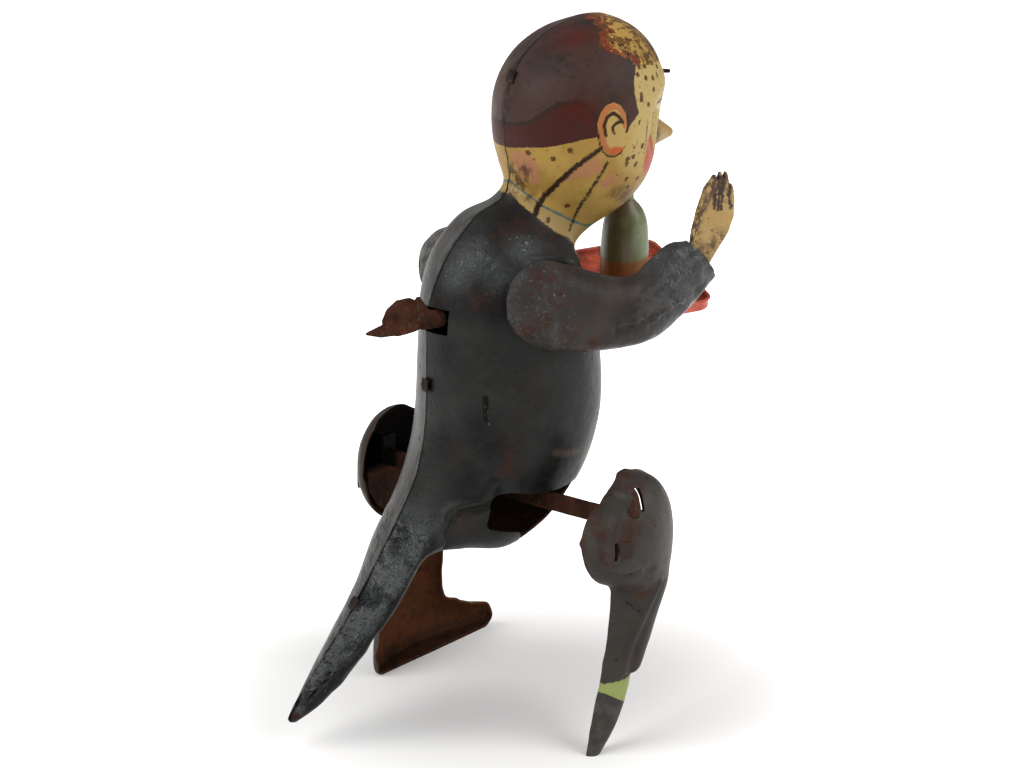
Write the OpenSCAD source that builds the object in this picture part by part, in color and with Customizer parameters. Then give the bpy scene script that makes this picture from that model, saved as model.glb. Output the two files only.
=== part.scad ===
// Wind up tin walking figure: a waiter in a tail coat, made of pressed tin halves round a clockwork.
// The figure faces -Y, its right hand side is -X, and it stands on the plane z = 0.
// It is drawn at the end of a step, with the right leg forward.

/* [Figure] */
// Scale of the whole figure against its usual height of 173 mm
figure_scale = 1; // [0.9:0.05:1.1]
// Thickness of the pressed tin
tin = 0.6; // [0.5:0.05:0.7]

/* [Legs] */
// Swing of the leg rocker to each side of straight ahead, degrees
half_swing = 22.5; // [15:0.5:24]
// Distance from the rocker pivot to the open rim of a leg
leg_offset = 35; // [34:0.5:37]
// Height of the hip strip above the floor
strip_z = 58.8; // [57:0.2:60]
// Width of the hip strip
strip_w = 4.6; // [4:0.1:5]
// Thickness of the hip strip and its bent ends
strip_t = 1.1; // [0.9:0.1:1.2]
// Distance of the hip strip behind the pivot
strip_back = 3.8; // [3.6:0.1:4.2]

/* [Arms] */
// Distance of a sleeve's middle plane from the middle of the figure
arm_offset = 23.6; // [23.6:0.1:25]
// How far the left arm is lowered against the right one, degrees
left_arm_drop = 28; // [27:1:30]
// Radius of the shoulder rivets
rivet_r = 1.5; // [1.3:0.1:1.7]

/* [Tray] */
// Length of the tray's front edge
tray_w = 38; // [34:1:39]
// Depth of the tray from front to back
tray_d = 25; // [22:0.5:25]
// Height of the tray's rim
tray_rim = 3; // [2:0.25:3]
// Radius of the bottle
bottle_r = 6.1; // [5:0.1:6.2]

/* [Clockwork] */
// Gear module
gear_module = 0.5; // [0.46:0.01:0.5]
// Teeth on the great wheel
great_teeth = 36; // [32:1:36]
// Teeth on the second wheel
second_teeth = 27; // [24:1:27]
// Teeth on both pinions
pinion_teeth = 9; // [9:1:10]
// Radius of the winding arbor
arbor_r = 1.3; // [1.2:0.05:1.4]
// Throw of the crank pin
crank_throw = 4.7; // [4:0.1:4.8]
// Turns of the mainspring
spring_turns = 6; // [4:1:7]

/* [Hidden] */
$fn = 48;

// The pivot's place, so that the origin lies under the middle of the figure's outline
pivot_at = [-1.2, -2.57, 0];
// Openings for the hip strip, [y, z]: the right one takes away the lower front of its side
hip_rear = [[2.3, 61.9], [11.4, 63.9], [14.2, 61.6], [14.6, 58], [15.2, 54.4], [11.7, 53.1], [7, 51.9]];
right_cut = concat(hip_rear, [[4.4, 51.2], [2, 43], [-28, 43], [-28, 61.8], [-6, 61.8]]);
left_cut = concat(hip_rear, [[-10, 53.4], [-14.4, 56], [-14.4, 61.8], [-6, 61.8]]);
// Strip that is left beside the seam, from the seam to the opening
seam_strip = 8;
run_fit = 0.06;
clear = 0.3;
right = -1;
left = 1;

// Stations of the body: back point [y, z], front point [y, z], half width
body_stations = [
    [60.2, 8.4, 58.0, 7.4, 1.0],
    [57.0, 13.2, 52.6, 10.6, 3.4],
    [50.0, 23.6, 43.4, 19.4, 6.0],
    [41.2, 37.2, 33.6, 32.4, 8.4],
    [34.6, 49.6, 25.4, 45.2, 10.6],
    [30.2, 58.0, 15.4, 45.6, 13.4],
    [27.4, 63.6, 4.0, 44.3, 16.6],
    [25.6, 68.3, -7.4, 48.4, 19.0],
    [24.2, 73.4, -15.0, 55.0, 20.4],
    [23.4, 79.4, -20.2, 65.0, 20.8],
    [23.0, 86.0, -22.8, 76.0, 20.9],
    [22.7, 95.0, -23.2, 87.0, 20.5],
    [21.9, 107.4, -21.8, 99.4, 19.8],
    [18.3, 118.0, -19.2, 109.0, 17.6],
    [10.6, 126.8, -17.6, 114.6, 13.2],
    [3.2, 130.6, -17.0, 118.0, 9.8],
    [0.2, 134.4, -21.0, 121.8, 10.2],
    [0.8, 139.0, -29.0, 126.6, 15.0],
    [1.8, 143.6, -35.0, 133.2, 18.2],
    [2.1, 149.0, -37.8, 142.0, 20.2],
    [1.5, 155.0, -39.0, 150.6, 20.7],
    [-0.8, 160.6, -39.2, 158.4, 19.8],
    [-5.0, 165.8, -36.8, 165.0, 16.8],
    [-11.2, 170.0, -32.2, 170.0, 11.4],
    [-18.8, 172.6, -26.0, 172.6, 4.0]
];

// The left half is fuller round the shoulder: [station, extra half width]
left_fuller = [[12, 0], [13, 1.7], [14, 3.6], [15, 1.4], [16, 0]];
left_body_stations = [for (i = [0 : len(body_stations) - 1]) let(s = body_stations[i])
    [s[0], s[1], s[2], s[3], s[4] + lookup(i, left_fuller)]];

// Stations of the right leg: its foot points down, and the trouser leg ends in a step over the sock
right_stations = [
    [13.2, 0.0, 10.0, 0.0, 2.0],
    [11.8, 4.6, 6.2, 4.2, 3.2],
    [10.2, 10.0, 2.0, 9.6, 4.2],
    [8.4, 15.6, -1.6, 15.2, 4.6],
    [7.4, 19.0, -3.2, 18.8, 4.8],
    [7.0, 20.4, -5.0, 20.0, 6.2],
    [6.0, 25.0, -6.8, 24.8, 6.5],
    [4.7, 32.0, -10.0, 31.6, 7.2],
    [4.2, 37.6, -12.4, 37.4, 8.2],
    [4.8, 40.8, -13.4, 41.2, 9.0],
    [10.4, 44.2, -14.2, 44.8, 9.9],
    [14.2, 48.4, -14.6, 49.0, 10.9],
    [15.7, 53.4, -14.2, 55.0, 11.5],
    [14.4, 59.8, -12.6, 61.2, 10.9],
    [9.4, 64.4, -9.4, 65.8, 9.0],
    [5.0, 67.4, -5.8, 68.2, 6.0],
    [2.4, 69.2, -2.4, 69.2, 2.8]];
// Stations of the left leg: its foot stands flat
left_stations = [
    [12.0, 0.0, -33.0, 0.0, 7.0],
    [12.4, 3.4, -34.8, 3.2, 7.4],
    [12.2, 7.0, -32.6, 6.8, 7.4],
    [11.4, 10.6, -24.0, 10.4, 7.2],
    [10.4, 15.0, -15.2, 15.0, 7.0],
    [9.0, 22.0, -14.4, 22.0, 7.0],
    [7.2, 31.0, -15.0, 31.0, 7.0],
    [5.2, 37.8, -14.6, 38.0, 7.0],
    [5.2, 41.4, -14.0, 42.0, 7.0],
    [9.8, 45.0, -13.2, 46.0, 7.2],
    [13.4, 49.2, -12.4, 50.4, 7.4],
    [15.6, 55.5, -11.6, 57.0, 7.6],
    [14.6, 63.5, -9.6, 64.0, 7.2],
    [11.0, 69.0, -5.6, 69.2, 5.4],
    [6.0, 72.0, -0.6, 72.0, 2.6]];
// Sleeve from the shoulder to the open cuff: top [y, z], underside [y, z], share of the full bulge
sleeve_stations = [
    [12.8, 112.2, 12.4, 107.2, 0.30],
    [10.8, 116.6, 9.8, 102.8, 0.76],
    [5.0, 119.8, 4.2, 99.4, 1.00],
    [-2.0, 118.6, -4.0, 97.6, 1.00],
    [-10.0, 115.8, -13.0, 96.9, 0.94],
    [-17.0, 113.8, -21.6, 97.2, 0.86],
    [-21.6, 114.2, -28.6, 99.2, 0.80],
    [-25.0, 116.8, -35.0, 103.4, 0.78],
    [-30.0, 120.2, -39.5, 107.2, 0.76],
    [-35.4, 120.9, -43.2, 111.4, 0.72]
];
sleeve_out = 5.6;
sleeve_in = 3.4;
shoulder = [3.5, 109.5];

// Hand held up, outline in the sleeve's middle plane [y, z] from the thumb side of the wrist
hand_outline = [[-33.6, 115.4], [-36.5, 120.2], [-37.0, 123.6], [-38.2, 128.1], [-40.2, 133.4],
    [-42.6, 136.2], [-44.2, 137.0], [-46.2, 136.8], [-48.2, 132.9], [-48.8, 129.6], [-48.6, 125.6],
    [-47.2, 122.0], [-43.6, 117.0], [-40.6, 112.8], [-37.0, 110.6]];
// Left wrist, in its sleeve's middle plane, from inside the cuff up to the palm
wrist_outline = [[-31, 96.5], [-37.4, 99], [-38.8, 105.15], [-45, 105.85], [-44.5, 102.5],
    [-40.5, 94.5], [-33, 91.5]];
hand_t = 1.2;

// Tray: middle of its floor, turn and tilt, and where the bottle and the palm sit on it
tray_at = [7.9, -41, 102.7];
tray_turn = -7;
tray_tilt = 13.5;
tilt_axis = [-0.47, -0.88, 0];
tray_t = 0.7;
tray_corner = 3.5;
bottle_on_tray = [1.8, 2.7];
palm_at = [12, 2.5];
palm_r = 6;
palm_t = 1;
palm_gap = 0.05;
tray_rivet_r = 0.9;
nail_r = 0.6;
nail_depth = 6;

// Clockwork layout: arbor places [x, z] and the planes of the pieces along y
arbor_at = [-3.5, 104];
great_r = gear_module * great_teeth / 2;
second_r = gear_module * second_teeth / 2;
pinion_r = gear_module * pinion_teeth / 2;
crank_x = 0;
second_x = 1.5;
second_at = [second_x, arbor_at[1] - sqrt(pow(great_r + pinion_r, 2) - pow(second_x - arbor_at[0], 2))];
crank_at = [crank_x, second_at[1] - sqrt(pow(second_r + pinion_r, 2) - pow(second_x - crank_x, 2))];
mesh_great = atan2(second_at[1] - arbor_at[1], second_at[0] - arbor_at[0]);
mesh_second = atan2(crank_at[1] - second_at[1], crank_at[0] - second_at[0]);
small_r = 0.9;
plate_t = 0.8;
plate_x = 12;
ear_z = 84;
ear_h = 6;
rear_ear_x = 16.6;
front_ear_x = 19.6;
front_y = -4;
bridge_z = 64.4;
plate_foot_z = bridge_z;
wheel_t = 1;
ratchet_r = 4.2;
click_at = arbor_at + [-2.4, 6.2];
click_rivet_r = 0.6;
spring_y = -0.5;
spring_w = 7.2;
ratchet_y = spring_y + spring_w + 0.9;
great_y = ratchet_y + 2;
rear_y = great_y + 4.8;
spring_in = 2.4;
spring_out = 7.6;
spring_t = 0.35;
second_y = -3;
crank_y = -6.2;
pin_r = 0.8;
pin_end_y = -8.8;
pillar_r = 1.5;
pillar_step = 0.5;
pillars_at = [[6.6, 112.4], [-9.6, 71], [9.6, 71]];
hook_at = pillars_at[0];
// Notch for the key at the seam of the right half: depth from the seam, lower and upper edge
key_notch = [8.2, 98.9, 106.7];
key_tube_r = 1.8;
key_turn = 22;

// Rocker: lever on the pivot pin, with a fork in front of the crank
pivot_r = 1.5;
lever_z = 63;
lever_t = 1;
fork_y = -11.6;
fork_t = 1;
fork_top = crank_at[1] + crank_throw + 2.4;
fork_slot = 2.2;
fork_w = 6;
washer_t = 0.6;
washer_z = lever_z - clear - washer_t;
pivot_foot = washer_z - clear;

strip_rivets_x = [-2.6, 2.6];
strip_rivet_r = 0.6;

// Tongues at each end of the hip strip: slot [y, z], height, length of the folded part, and for the
// right and the left leg how far out it comes, its turn and its lean
tongues = [[[5.2, 62.6], 4.6, 3, [9.85, 7.75], [30, 12], [-28, -7]],
    [[12.4, 54], 4.4, -4.4, [7.95, 5.35], [34, 26], [0, 0]]];
fold_t = 0.6;
flange_x = leg_offset + 1.2;

// Points between stations on a smooth curve through them
function curve_point(a, b, c, d, t) =
    0.5 * (2 * b + (c - a) * t + (2 * a - 5 * b + 4 * c - d) * t * t + (3 * b - a - 3 * c + d) * t * t * t);
function smooth(s, n) = let(last = len(s) - 1) concat(
    [for (i = [0 : last - 1]) for (k = [0 : n - 1])
        curve_point(s[max(i - 1, 0)], s[i], s[i + 1], s[min(i + 2, last)], k / n)],
    [s[last]]);
function unit(v) = v / norm(v);

// One point of a half ring: a runs from the back at 0 to the front at 180 degrees
function ring_point(s, a, side) = [
    side * s[4] * sin(a),
    (s[0] + s[2]) / 2 + (s[0] - s[2]) / 2 * cos(a),
    (s[1] + s[3]) / 2 + (s[1] - s[3]) / 2 * cos(a)];
function outward(grid, i, j, side) =
    let(last = len(grid) - 1, m = len(grid[0]) - 1,
        along = grid[min(i + 1, last)][j] - grid[max(i - 1, 0)][j],
        around = j == 0 ? [side, 0, 0] : j == m ? [-side, 0, 0] : grid[i][j + 1] - grid[i][j - 1])
    side * unit(cross(along, around));
function middle(ring) = (ring[0] + ring[len(ring) - 1]) / 2;

// Half of a pressed shell with an open rim on x = 0; the last ring is closed or left open
module half_shell(stations, side, wall, steps, open_end = false) {
    last = len(stations) - 1;
    grid = [for (s = stations) [for (j = [0 : steps]) ring_point(s, 180 * j / steps, side)]];
    first_in = wall * unit(middle(grid[1]) - middle(grid[0]));
    last_in = open_end ? [0, 0, 0] : wall * unit(middle(grid[last - 1]) - middle(grid[last]));
    inner = [for (i = [0 : last]) [for (j = [0 : steps])
        grid[i][j] - wall * outward(grid, i, j, side)
        + (i == 0 ? first_in : i == last ? last_in : [0, 0, 0])]];
    row = steps + 1;
    base = (last + 1) * row;
    function o(i, j) = i * row + j;
    function n(i, j) = base + i * row + j;
    walls = [for (i = [0 : last - 1]) for (j = [0 : steps - 1]) each [
        [o(i, j), o(i, j + 1), o(i + 1, j + 1)], [o(i, j), o(i + 1, j + 1), o(i + 1, j)],
        [n(i, j), n(i + 1, j + 1), n(i, j + 1)], [n(i, j), n(i + 1, j), n(i + 1, j + 1)]]];
    rims = [for (i = [0 : last - 1]) each [
        [o(i, 0), o(i + 1, 0), n(i + 1, 0)], [o(i, 0), n(i + 1, 0), n(i, 0)],
        [n(i, steps), n(i + 1, steps), o(i + 1, steps)], [n(i, steps), o(i + 1, steps), o(i, steps)]]];
    first_cap = concat(
        [for (j = [1 : steps - 1]) [o(0, steps), o(0, steps - j), o(0, steps - j - 1)]],
        [for (j = [1 : steps - 1]) [n(0, 0), n(0, j), n(0, j + 1)]],
        [[o(0, steps), o(0, 0), n(0, 0)], [o(0, steps), n(0, 0), n(0, steps)]]);
    last_cap = concat(
        [for (j = [1 : steps - 1]) [o(last, 0), o(last, j), o(last, j + 1)]],
        [for (j = [1 : steps - 1]) [n(last, steps), n(last, steps - j), n(last, steps - j - 1)]],
        [[o(last, 0), o(last, steps), n(last, steps)], [o(last, 0), n(last, steps), n(last, 0)]]);
    last_ring = [for (j = [0 : steps - 1]) each [
        [o(last, j), o(last, j + 1), n(last, j + 1)], [o(last, j), n(last, j + 1), n(last, j)]]];
    faces = concat(walls, rims, first_cap, open_end ? last_ring : last_cap);
    polyhedron(
        concat([for (r = grid) each r], [for (r = inner) each r]),
        [for (f = faces) side > 0 ? f : [f[2], f[1], f[0]]]);
}

// Turn a flat shape into a plate that lies across y, from y to y + t
module across_y(y, t) {
    translate([0, y + t, 0])
        rotate([90, 0, 0])
            linear_extrude(t)
                children();
}

// Turn a flat shape drawn in [y, z] into a plate across x, from x to x + t
module across_x(x, t) {
    translate([x, 0, 0])
        rotate([90, 0, 90])
            linear_extrude(t)
                children();
}

// Round bar along y, and round bar along x
module bar_y(at, r, y0, y1) {
    translate([at[0], y1, at[1]])
        rotate([90, 0, 0])
            cylinder(r = r, h = y1 - y0);
}
module bar_x(at, r, x0, x1) {
    translate([x0, at[0], at[1]])
        rotate([0, 90, 0])
            cylinder(r = r, h = x1 - x0);
}

module slot_shape(y0, y1, z0, z1) {
    r = (z1 - z0) / 2;
    translate([y0 + r, z0])
        square([y1 - y0 - 2 * r, 2 * r]);
    for (y = [y0 + r, y1 - r])
        translate([y, z0 + r])
            circle(r = r);
}

// Involute gear outline with a tooth on the +x axis, thinned for backlash
function involute(a) = tan(a) - a * PI / 180;
function flank_angle(r, pitch_r, base_r, teeth) =
    90 / teeth * 0.86 + (involute(22) - involute(r > base_r ? acos(base_r / r) : 0)) * 180 / PI;
module gear_shape(teeth) {
    pitch_r = gear_module * teeth / 2;
    base_r = pitch_r * cos(22);
    root_r = pitch_r - 1.05 * gear_module;
    tip_r = pitch_r + 0.75 * gear_module;
    radii = [root_r, max(base_r, root_r + 0.05), pitch_r, tip_r];
    half = [for (r = radii) flank_angle(r, pitch_r, base_r, teeth)];
    function at(q, a) = radii[q] * [cos(a), sin(a)];
    polygon([for (k = [0 : teeth - 1]) each concat(
        [for (q = [0 : 3]) at(q, 360 * k / teeth - half[q])],
        [for (q = [3 : -1 : 0]) at(q, 360 * k / teeth + half[q])])]);
}

// Places of the moving groups at rest
module rocker() {
    rotate([0, 0, half_swing])
        children();
}
module left_arm() {
    translate([0, shoulder[0], shoulder[1]])
        rotate([left_arm_drop, 0, 0])
            translate([0, -shoulder[0], -shoulder[1]])
                children();
}
module on_tray() {
    translate(tray_at)
        rotate(a = tray_tilt, v = tilt_axis)
            rotate([0, 0, tray_turn])
                children();
}

// Body
module body_shell(side) {
    difference() {
        half_shell(smooth(side > 0 ? left_body_stations : body_stations, 2), side, tin, 18);
        // Long opening that the hip strip swings in
        across_x(side > 0 ? seam_strip : -seam_strip - 20, 20)
            polygon(side > 0 ? left_cut : right_cut);
        // Slot for the rear plate's ear
        translate([side > 0 ? 12 : -24, rear_y, ear_z - ear_h / 2])
            cube([12, plate_t, ear_h]);
        // Shoulder rivet hole
        bar_x(shoulder, rivet_r + run_fit, side > 0 ? 12 : -22, side > 0 ? 22 : -12);
        if (side == right)
            translate([-key_notch[0], 14, key_notch[1]])
                cube([key_notch[0] + 1, 16, key_notch[2] - key_notch[1]]);
    }
}
module body_shell_right() {
    color("#3b3c40")
        body_shell(right);
}
module body_shell_left() {
    color("#4a4c50")
        body_shell(left);
}
// Folded tongues over the seam: [y, z, turn] of each
module seam_tabs() {
    tabs = [[-0.2, 159.6, 20], [23.05, 87.4, 2], [42.9, 34.9, 33]];
    color("#2f2d2c") {
        for (t = tabs)
            translate([-3.1, t[0], t[1]])
                rotate([t[2], 0, 0])
                    translate([0, 0.08, -1.6])
                        cube([3, 0.5, 3.2]);
        translate([-0.6, -39.3, 158.6])
            rotate([8, 0, 0])
                translate([0, -3.6, -0.5])
                    cube([1.2, 3.6, 1]);
    }
}
module nose_cone() {
    color("#d9b877")
        translate([0, -38.4, 144])
            rotate([98, 0, 0])
                cylinder(r1 = 4.6, r2 = 0.9, h = 7.2);
}

// Clockwork frame
module plate_shape(ear_x) {
    low = ear_z - ear_h / 2;
    high = ear_z + ear_h / 2;
    polygon([[-plate_x, plate_foot_z], [plate_x, plate_foot_z], [plate_x, low], [ear_x, low], [ear_x, high],
        [plate_x, high], [plate_x, 106], [8, 115], [-6, 115], [-plate_x, 108], [-plate_x, high],
        [-ear_x, high], [-ear_x, low], [-plate_x, low]]);
}
module movement_plate(y, ear_x) {
    difference() {
        across_y(y, plate_t)
            plate_shape(ear_x);
        bar_y(arbor_at, arbor_r + run_fit, y - 1, y + 2);
        bar_y(second_at, small_r + run_fit, y - 1, y + 2);
        bar_y(crank_at, small_r + run_fit, y - 1, y + 2);
        for (p = pillars_at)
            bar_y(p, pillar_r - pillar_step, y - 1, y + 2);
    }
}
module movement_plate_rear() {
    color("#8a8275")
        movement_plate(rear_y, rear_ear_x);
}
module movement_plate_front() {
    color("#8a8275")
        movement_plate(front_y - plate_t, front_ear_x);
}
module movement_pillars() {
    color("#9a917f")
        for (p = pillars_at) {
            bar_y(p, pillar_r, front_y, rear_y);
            bar_y(p, pillar_r - pillar_step, front_y - plate_t, rear_y + plate_t);
        }
}
// Open spiral spring, its outer end hooked round a pillar
function spiral(a, off) = let(r = spring_in + (spring_out - spring_in) * a / (360 * spring_turns) + off)
    arbor_at + r * [cos(a), sin(a)];
module mainspring() {
    turn_end = 360 * spring_turns;
    hook = hook_at + [0.4, -pillar_r - 0.1];
    color("#5a6068")
        across_y(spring_y, spring_w)
            polygon(concat(
                [for (a = [0 : 15 : turn_end]) spiral(a, spring_t)],
                [hook + [0.5, -0.3], hook],
                [for (a = [turn_end : -15 : 0]) spiral(a, 0)]));
}
module pivot_bridge() {
    color("#8a8275")
        difference() {
            translate([-8, front_y, bridge_z])
                cube([16, rear_y - front_y, plate_t]);
            translate([0, 0, bridge_z - 1])
                cylinder(r = pivot_r, h = 4);
        }
}
module pivot_pin() {
    color("#7d766b") {
        translate([0, 0, pivot_foot])
            cylinder(r = pivot_r, h = bridge_z + plate_t - pivot_foot);
        translate([0, 0, bridge_z + plate_t])
            cylinder(r = pivot_r + 1, h = 0.7);
    }
}
module pivot_washer() {
    color("#6d675e")
        translate([0, 0, washer_z])
            difference() {
                cylinder(r = pivot_r + 0.9, h = washer_t);
                translate([0, 0, -1])
                    cylinder(r = pivot_r, h = 3);
            }
}

// Leg rocker
module rocker_lever() {
    color("#6b4a38")
        rocker()
            difference() {
                union() {
                    translate([-4, fork_y, lever_z])
                        cube([8, strip_back - fork_y, lever_t]);
                    translate([-4, strip_back - lever_t, strip_z - strip_w / 2])
                        cube([8, lever_t, lever_z + lever_t - strip_z + strip_w / 2]);
                    translate([-fork_w / 2, fork_y - fork_t, lever_z])
                        cube([fork_w, fork_t, fork_top - lever_z]);
                }
                translate([0, 0, lever_z - 1])
                    cylinder(r = pivot_r + run_fit, h = 4);
                translate([-fork_slot / 2, fork_y - 3, crank_at[1] - crank_throw - 1.6])
                    cube([fork_slot, 4, 20]);
                for (x = strip_rivets_x)
                    bar_y([x, strip_z], strip_rivet_r, strip_back - 3, strip_back + 1);
            }
}
// Strip with its ends bent to lie along the open side of each leg, and tongues through the legs
module strip_end(side) {
    leg = side > 0 ? 1 : 0;
    across_x(side > 0 ? flange_x : -flange_x - strip_t, strip_t)
        polygon([[-8, 44.4], [6.4, 44.4], [9.4, 47], [12.8, 52], [12.8, 58], [7, 58.4], [7, 65.3], [2, 65.3],
            [2, 58.4], [-8, 58]]);
    mirror([side > 0 ? 0 : 1, 0, 0])
        for (t = tongues)
            translate([leg_offset, t[0][0], t[0][1]]) {
                translate([flange_x - leg_offset, -fold_t / 2, -t[1] / 2])
                    cube([t[3][leg] - flange_x + leg_offset, fold_t, t[1]]);
                translate([t[3][leg], 0, 0])
                    rotate([0, t[5][leg], t[4][leg]])
                        translate([-fold_t / 2, t[2] > 0 ? 0 : t[2], -t[1] / 2])
                            cube([fold_t, abs(t[2]), t[1]]);
            }
}
module hip_crossbar() {
    color("#6a4433")
        rocker()
            difference() {
                union() {
                    translate([-flange_x - strip_t, strip_back, strip_z - strip_w / 2])
                        cube([2 * (flange_x + strip_t), strip_t, strip_w]);
                    strip_end(right);
                    strip_end(left);
                }
                for (x = strip_rivets_x)
                    bar_y([x, strip_z], strip_rivet_r, strip_back - 1, strip_back + 3);
            }
}
module crossbar_rivets() {
    color("#7d766b")
        rocker()
            for (x = strip_rivets_x) {
                bar_y([x, strip_z], strip_rivet_r, strip_back - lever_t, strip_back + strip_t);
                bar_y([x, strip_z], strip_rivet_r + 0.5, strip_back + strip_t, strip_back + strip_t + 0.5);
            }
}
module leg_shell(stations, side) {
    rocker()
        difference() {
            translate([side * leg_offset, 0, 0])
                half_shell(smooth(stations, 2), side, tin, 12);
            for (t = tongues)
                translate([side * (leg_offset + 8), t[0][0], t[0][1]])
                    cube([12, 1.6, t[1] + 0.6], center = true);
        }
}
module right_leg_shell() {
    color("#3a3a3c")
        leg_shell(right_stations, right);
}
module left_leg_shell() {
    color("#3a3a3c")
        leg_shell(left_stations, left);
}

// Winding group
module key_wing_shape() {
    polygon([[23, -1.2], [23, 2.0], [24.6, 4.4], [27.4, 5.6], [30.6, 5.4], [33.4, 3.6], [35.0, 1.2],
        [35.0, 0.2], [39.6, -1.2], [39.8, -1.8], [36.0, -2.8], [31.0, -3.0], [27.0, -2.4], [24.0, -1.4]]);
}
module winding_key() {
    color("#5a3a2a")
        difference() {
            union() {
                bar_y(arbor_at, key_tube_r, 19.4, 26.5);
                translate([arbor_at[0], 0, arbor_at[1]])
                    rotate([0, key_turn, 0])
                        across_x(-0.6, 1.2)
                            key_wing_shape();
            }
            bar_y(arbor_at, arbor_r, 15, 24.5);
        }
}
module winding_arbor() {
    color("#7d766b")
        bar_y(arbor_at, arbor_r, front_y - plate_t - 0.4, 24.5);
}
module ratchet_wheel() {
    teeth = 12;
    color("#a08a55")
        difference() {
            across_y(ratchet_y, wheel_t)
                translate(arbor_at)
                    polygon([for (k = [0 : teeth - 1]) each [
                        ratchet_r * [cos(360 * k / teeth), sin(360 * k / teeth)],
                        (ratchet_r - 0.9) * [cos(360 * (k + 0.08) / teeth), sin(360 * (k + 0.08) / teeth)]]]);
            bar_y(arbor_at, arbor_r, ratchet_y - 1, ratchet_y + 3);
        }
}

// Great wheel and its click, free on the arbor
module great_wheel() {
    color("#b08d4c")
        difference() {
            across_y(great_y, wheel_t)
                translate(arbor_at)
                    rotate(mesh_great)
                        gear_shape(great_teeth);
            bar_y(arbor_at, arbor_r + run_fit, great_y - 1, great_y + 3);
            bar_y(click_at, click_rivet_r, great_y - 1, great_y + 3);
        }
}
module click() {
    color("#8f8672")
        difference() {
            across_y(ratchet_y + 0.1, great_y - ratchet_y - 0.2)
                translate(arbor_at)
                    polygon([[-3.6, 6.0], [-2.8, 7.4], [-1.4, 7.2], [0.4, 5.4], [0.6, 4.7], [-0.2, 4.8],
                        [-2.2, 5.0]]);
            bar_y(click_at, click_rivet_r, ratchet_y - 1, great_y + 1);
        }
}
module click_rivet() {
    color("#7d766b") {
        bar_y(click_at, click_rivet_r, ratchet_y + 0.1, great_y + wheel_t);
        bar_y(click_at, click_rivet_r + 0.4, ratchet_y - 0.3, ratchet_y + 0.1);
    }
}

// Second arbor and crank arbor
module second_arbor() {
    color("#7d766b") {
        bar_y(second_at, small_r, front_y - plate_t, rear_y + plate_t);
        across_y(great_y - 0.3, wheel_t + 0.6)
            translate(second_at)
                rotate(mesh_great + 180 + 180 / pinion_teeth)
                    gear_shape(pinion_teeth);
    }
}
module second_wheel() {
    color("#b08d4c")
        difference() {
            across_y(second_y, wheel_t)
                translate(second_at)
                    rotate(mesh_second)
                        gear_shape(second_teeth);
            bar_y(second_at, small_r, second_y - 1, second_y + 3);
        }
}
module crank_arbor() {
    color("#7d766b") {
        bar_y(crank_at, small_r, crank_y, rear_y + plate_t);
        across_y(second_y - 0.3, wheel_t + 0.6)
            translate(crank_at)
                rotate(mesh_second + 180 + 180 / pinion_teeth)
                    gear_shape(pinion_teeth);
    }
}
module crank_disc() {
    color("#8a8275")
        difference() {
            bar_y(crank_at, crank_throw + 1.6, crank_y, crank_y + wheel_t);
            bar_y(crank_at, small_r, crank_y - 1, crank_y + 3);
            bar_y(crank_at + [crank_throw, 0], pin_r, crank_y - 1, crank_y + 3);
        }
}
module crank_pin() {
    color("#9a917f")
        bar_y(crank_at + [crank_throw, 0], pin_r, pin_end_y, crank_y + wheel_t);
}

// Arms
module sleeve_half(side, bulge) {
    stations = [for (s = sleeve_stations) [s[0], s[1], s[2], s[3], s[4] * bulge]];
    half_shell(smooth(stations, 2), side, tin, 10, true);
}
module sleeve_outer(side) {
    translate([side * arm_offset, 0, 0])
        sleeve_half(side, sleeve_out);
}
module sleeve_inner(side) {
    difference() {
        translate([side * arm_offset, 0, 0])
            sleeve_half(-side, sleeve_in);
        bar_x(shoulder, rivet_r, side > 0 ? 18 : -25, side > 0 ? 25 : -18);
    }
}
module right_sleeve_outer() {
    color("#3a3a3d")
        sleeve_outer(right);
}
module right_sleeve_inner() {
    color("#3a3a3d")
        sleeve_inner(right);
}
module right_hand() {
    color("#d9b877")
        across_x(-arm_offset - hand_t / 2, hand_t)
            polygon(hand_outline);
}
// Rivet through the inner sleeve and the body wall, with a head at each end
module shoulder_rivet(side) {
    in_x = 16.2;
    out_x = arm_offset - sleeve_in + tin;
    mirror([side > 0 ? 0 : 1, 0, 0]) {
        bar_x(shoulder, rivet_r, in_x, out_x + 1);
        bar_x(shoulder, rivet_r + 0.9, in_x, in_x + 0.7);
        bar_x(shoulder, rivet_r + 1, out_x + 0.3, out_x + 1);
    }
}
module right_shoulder_rivet() {
    color("#7d766b")
        shoulder_rivet(right);
}
module left_sleeve_outer() {
    color("#3a3a3d")
        left_arm()
            sleeve_outer(left);
}
module left_sleeve_inner() {
    color("#3a3a3d")
        left_arm()
            sleeve_inner(left);
}
module left_shoulder_rivet() {
    color("#7d766b")
        left_arm()
            shoulder_rivet(left);
}
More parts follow.
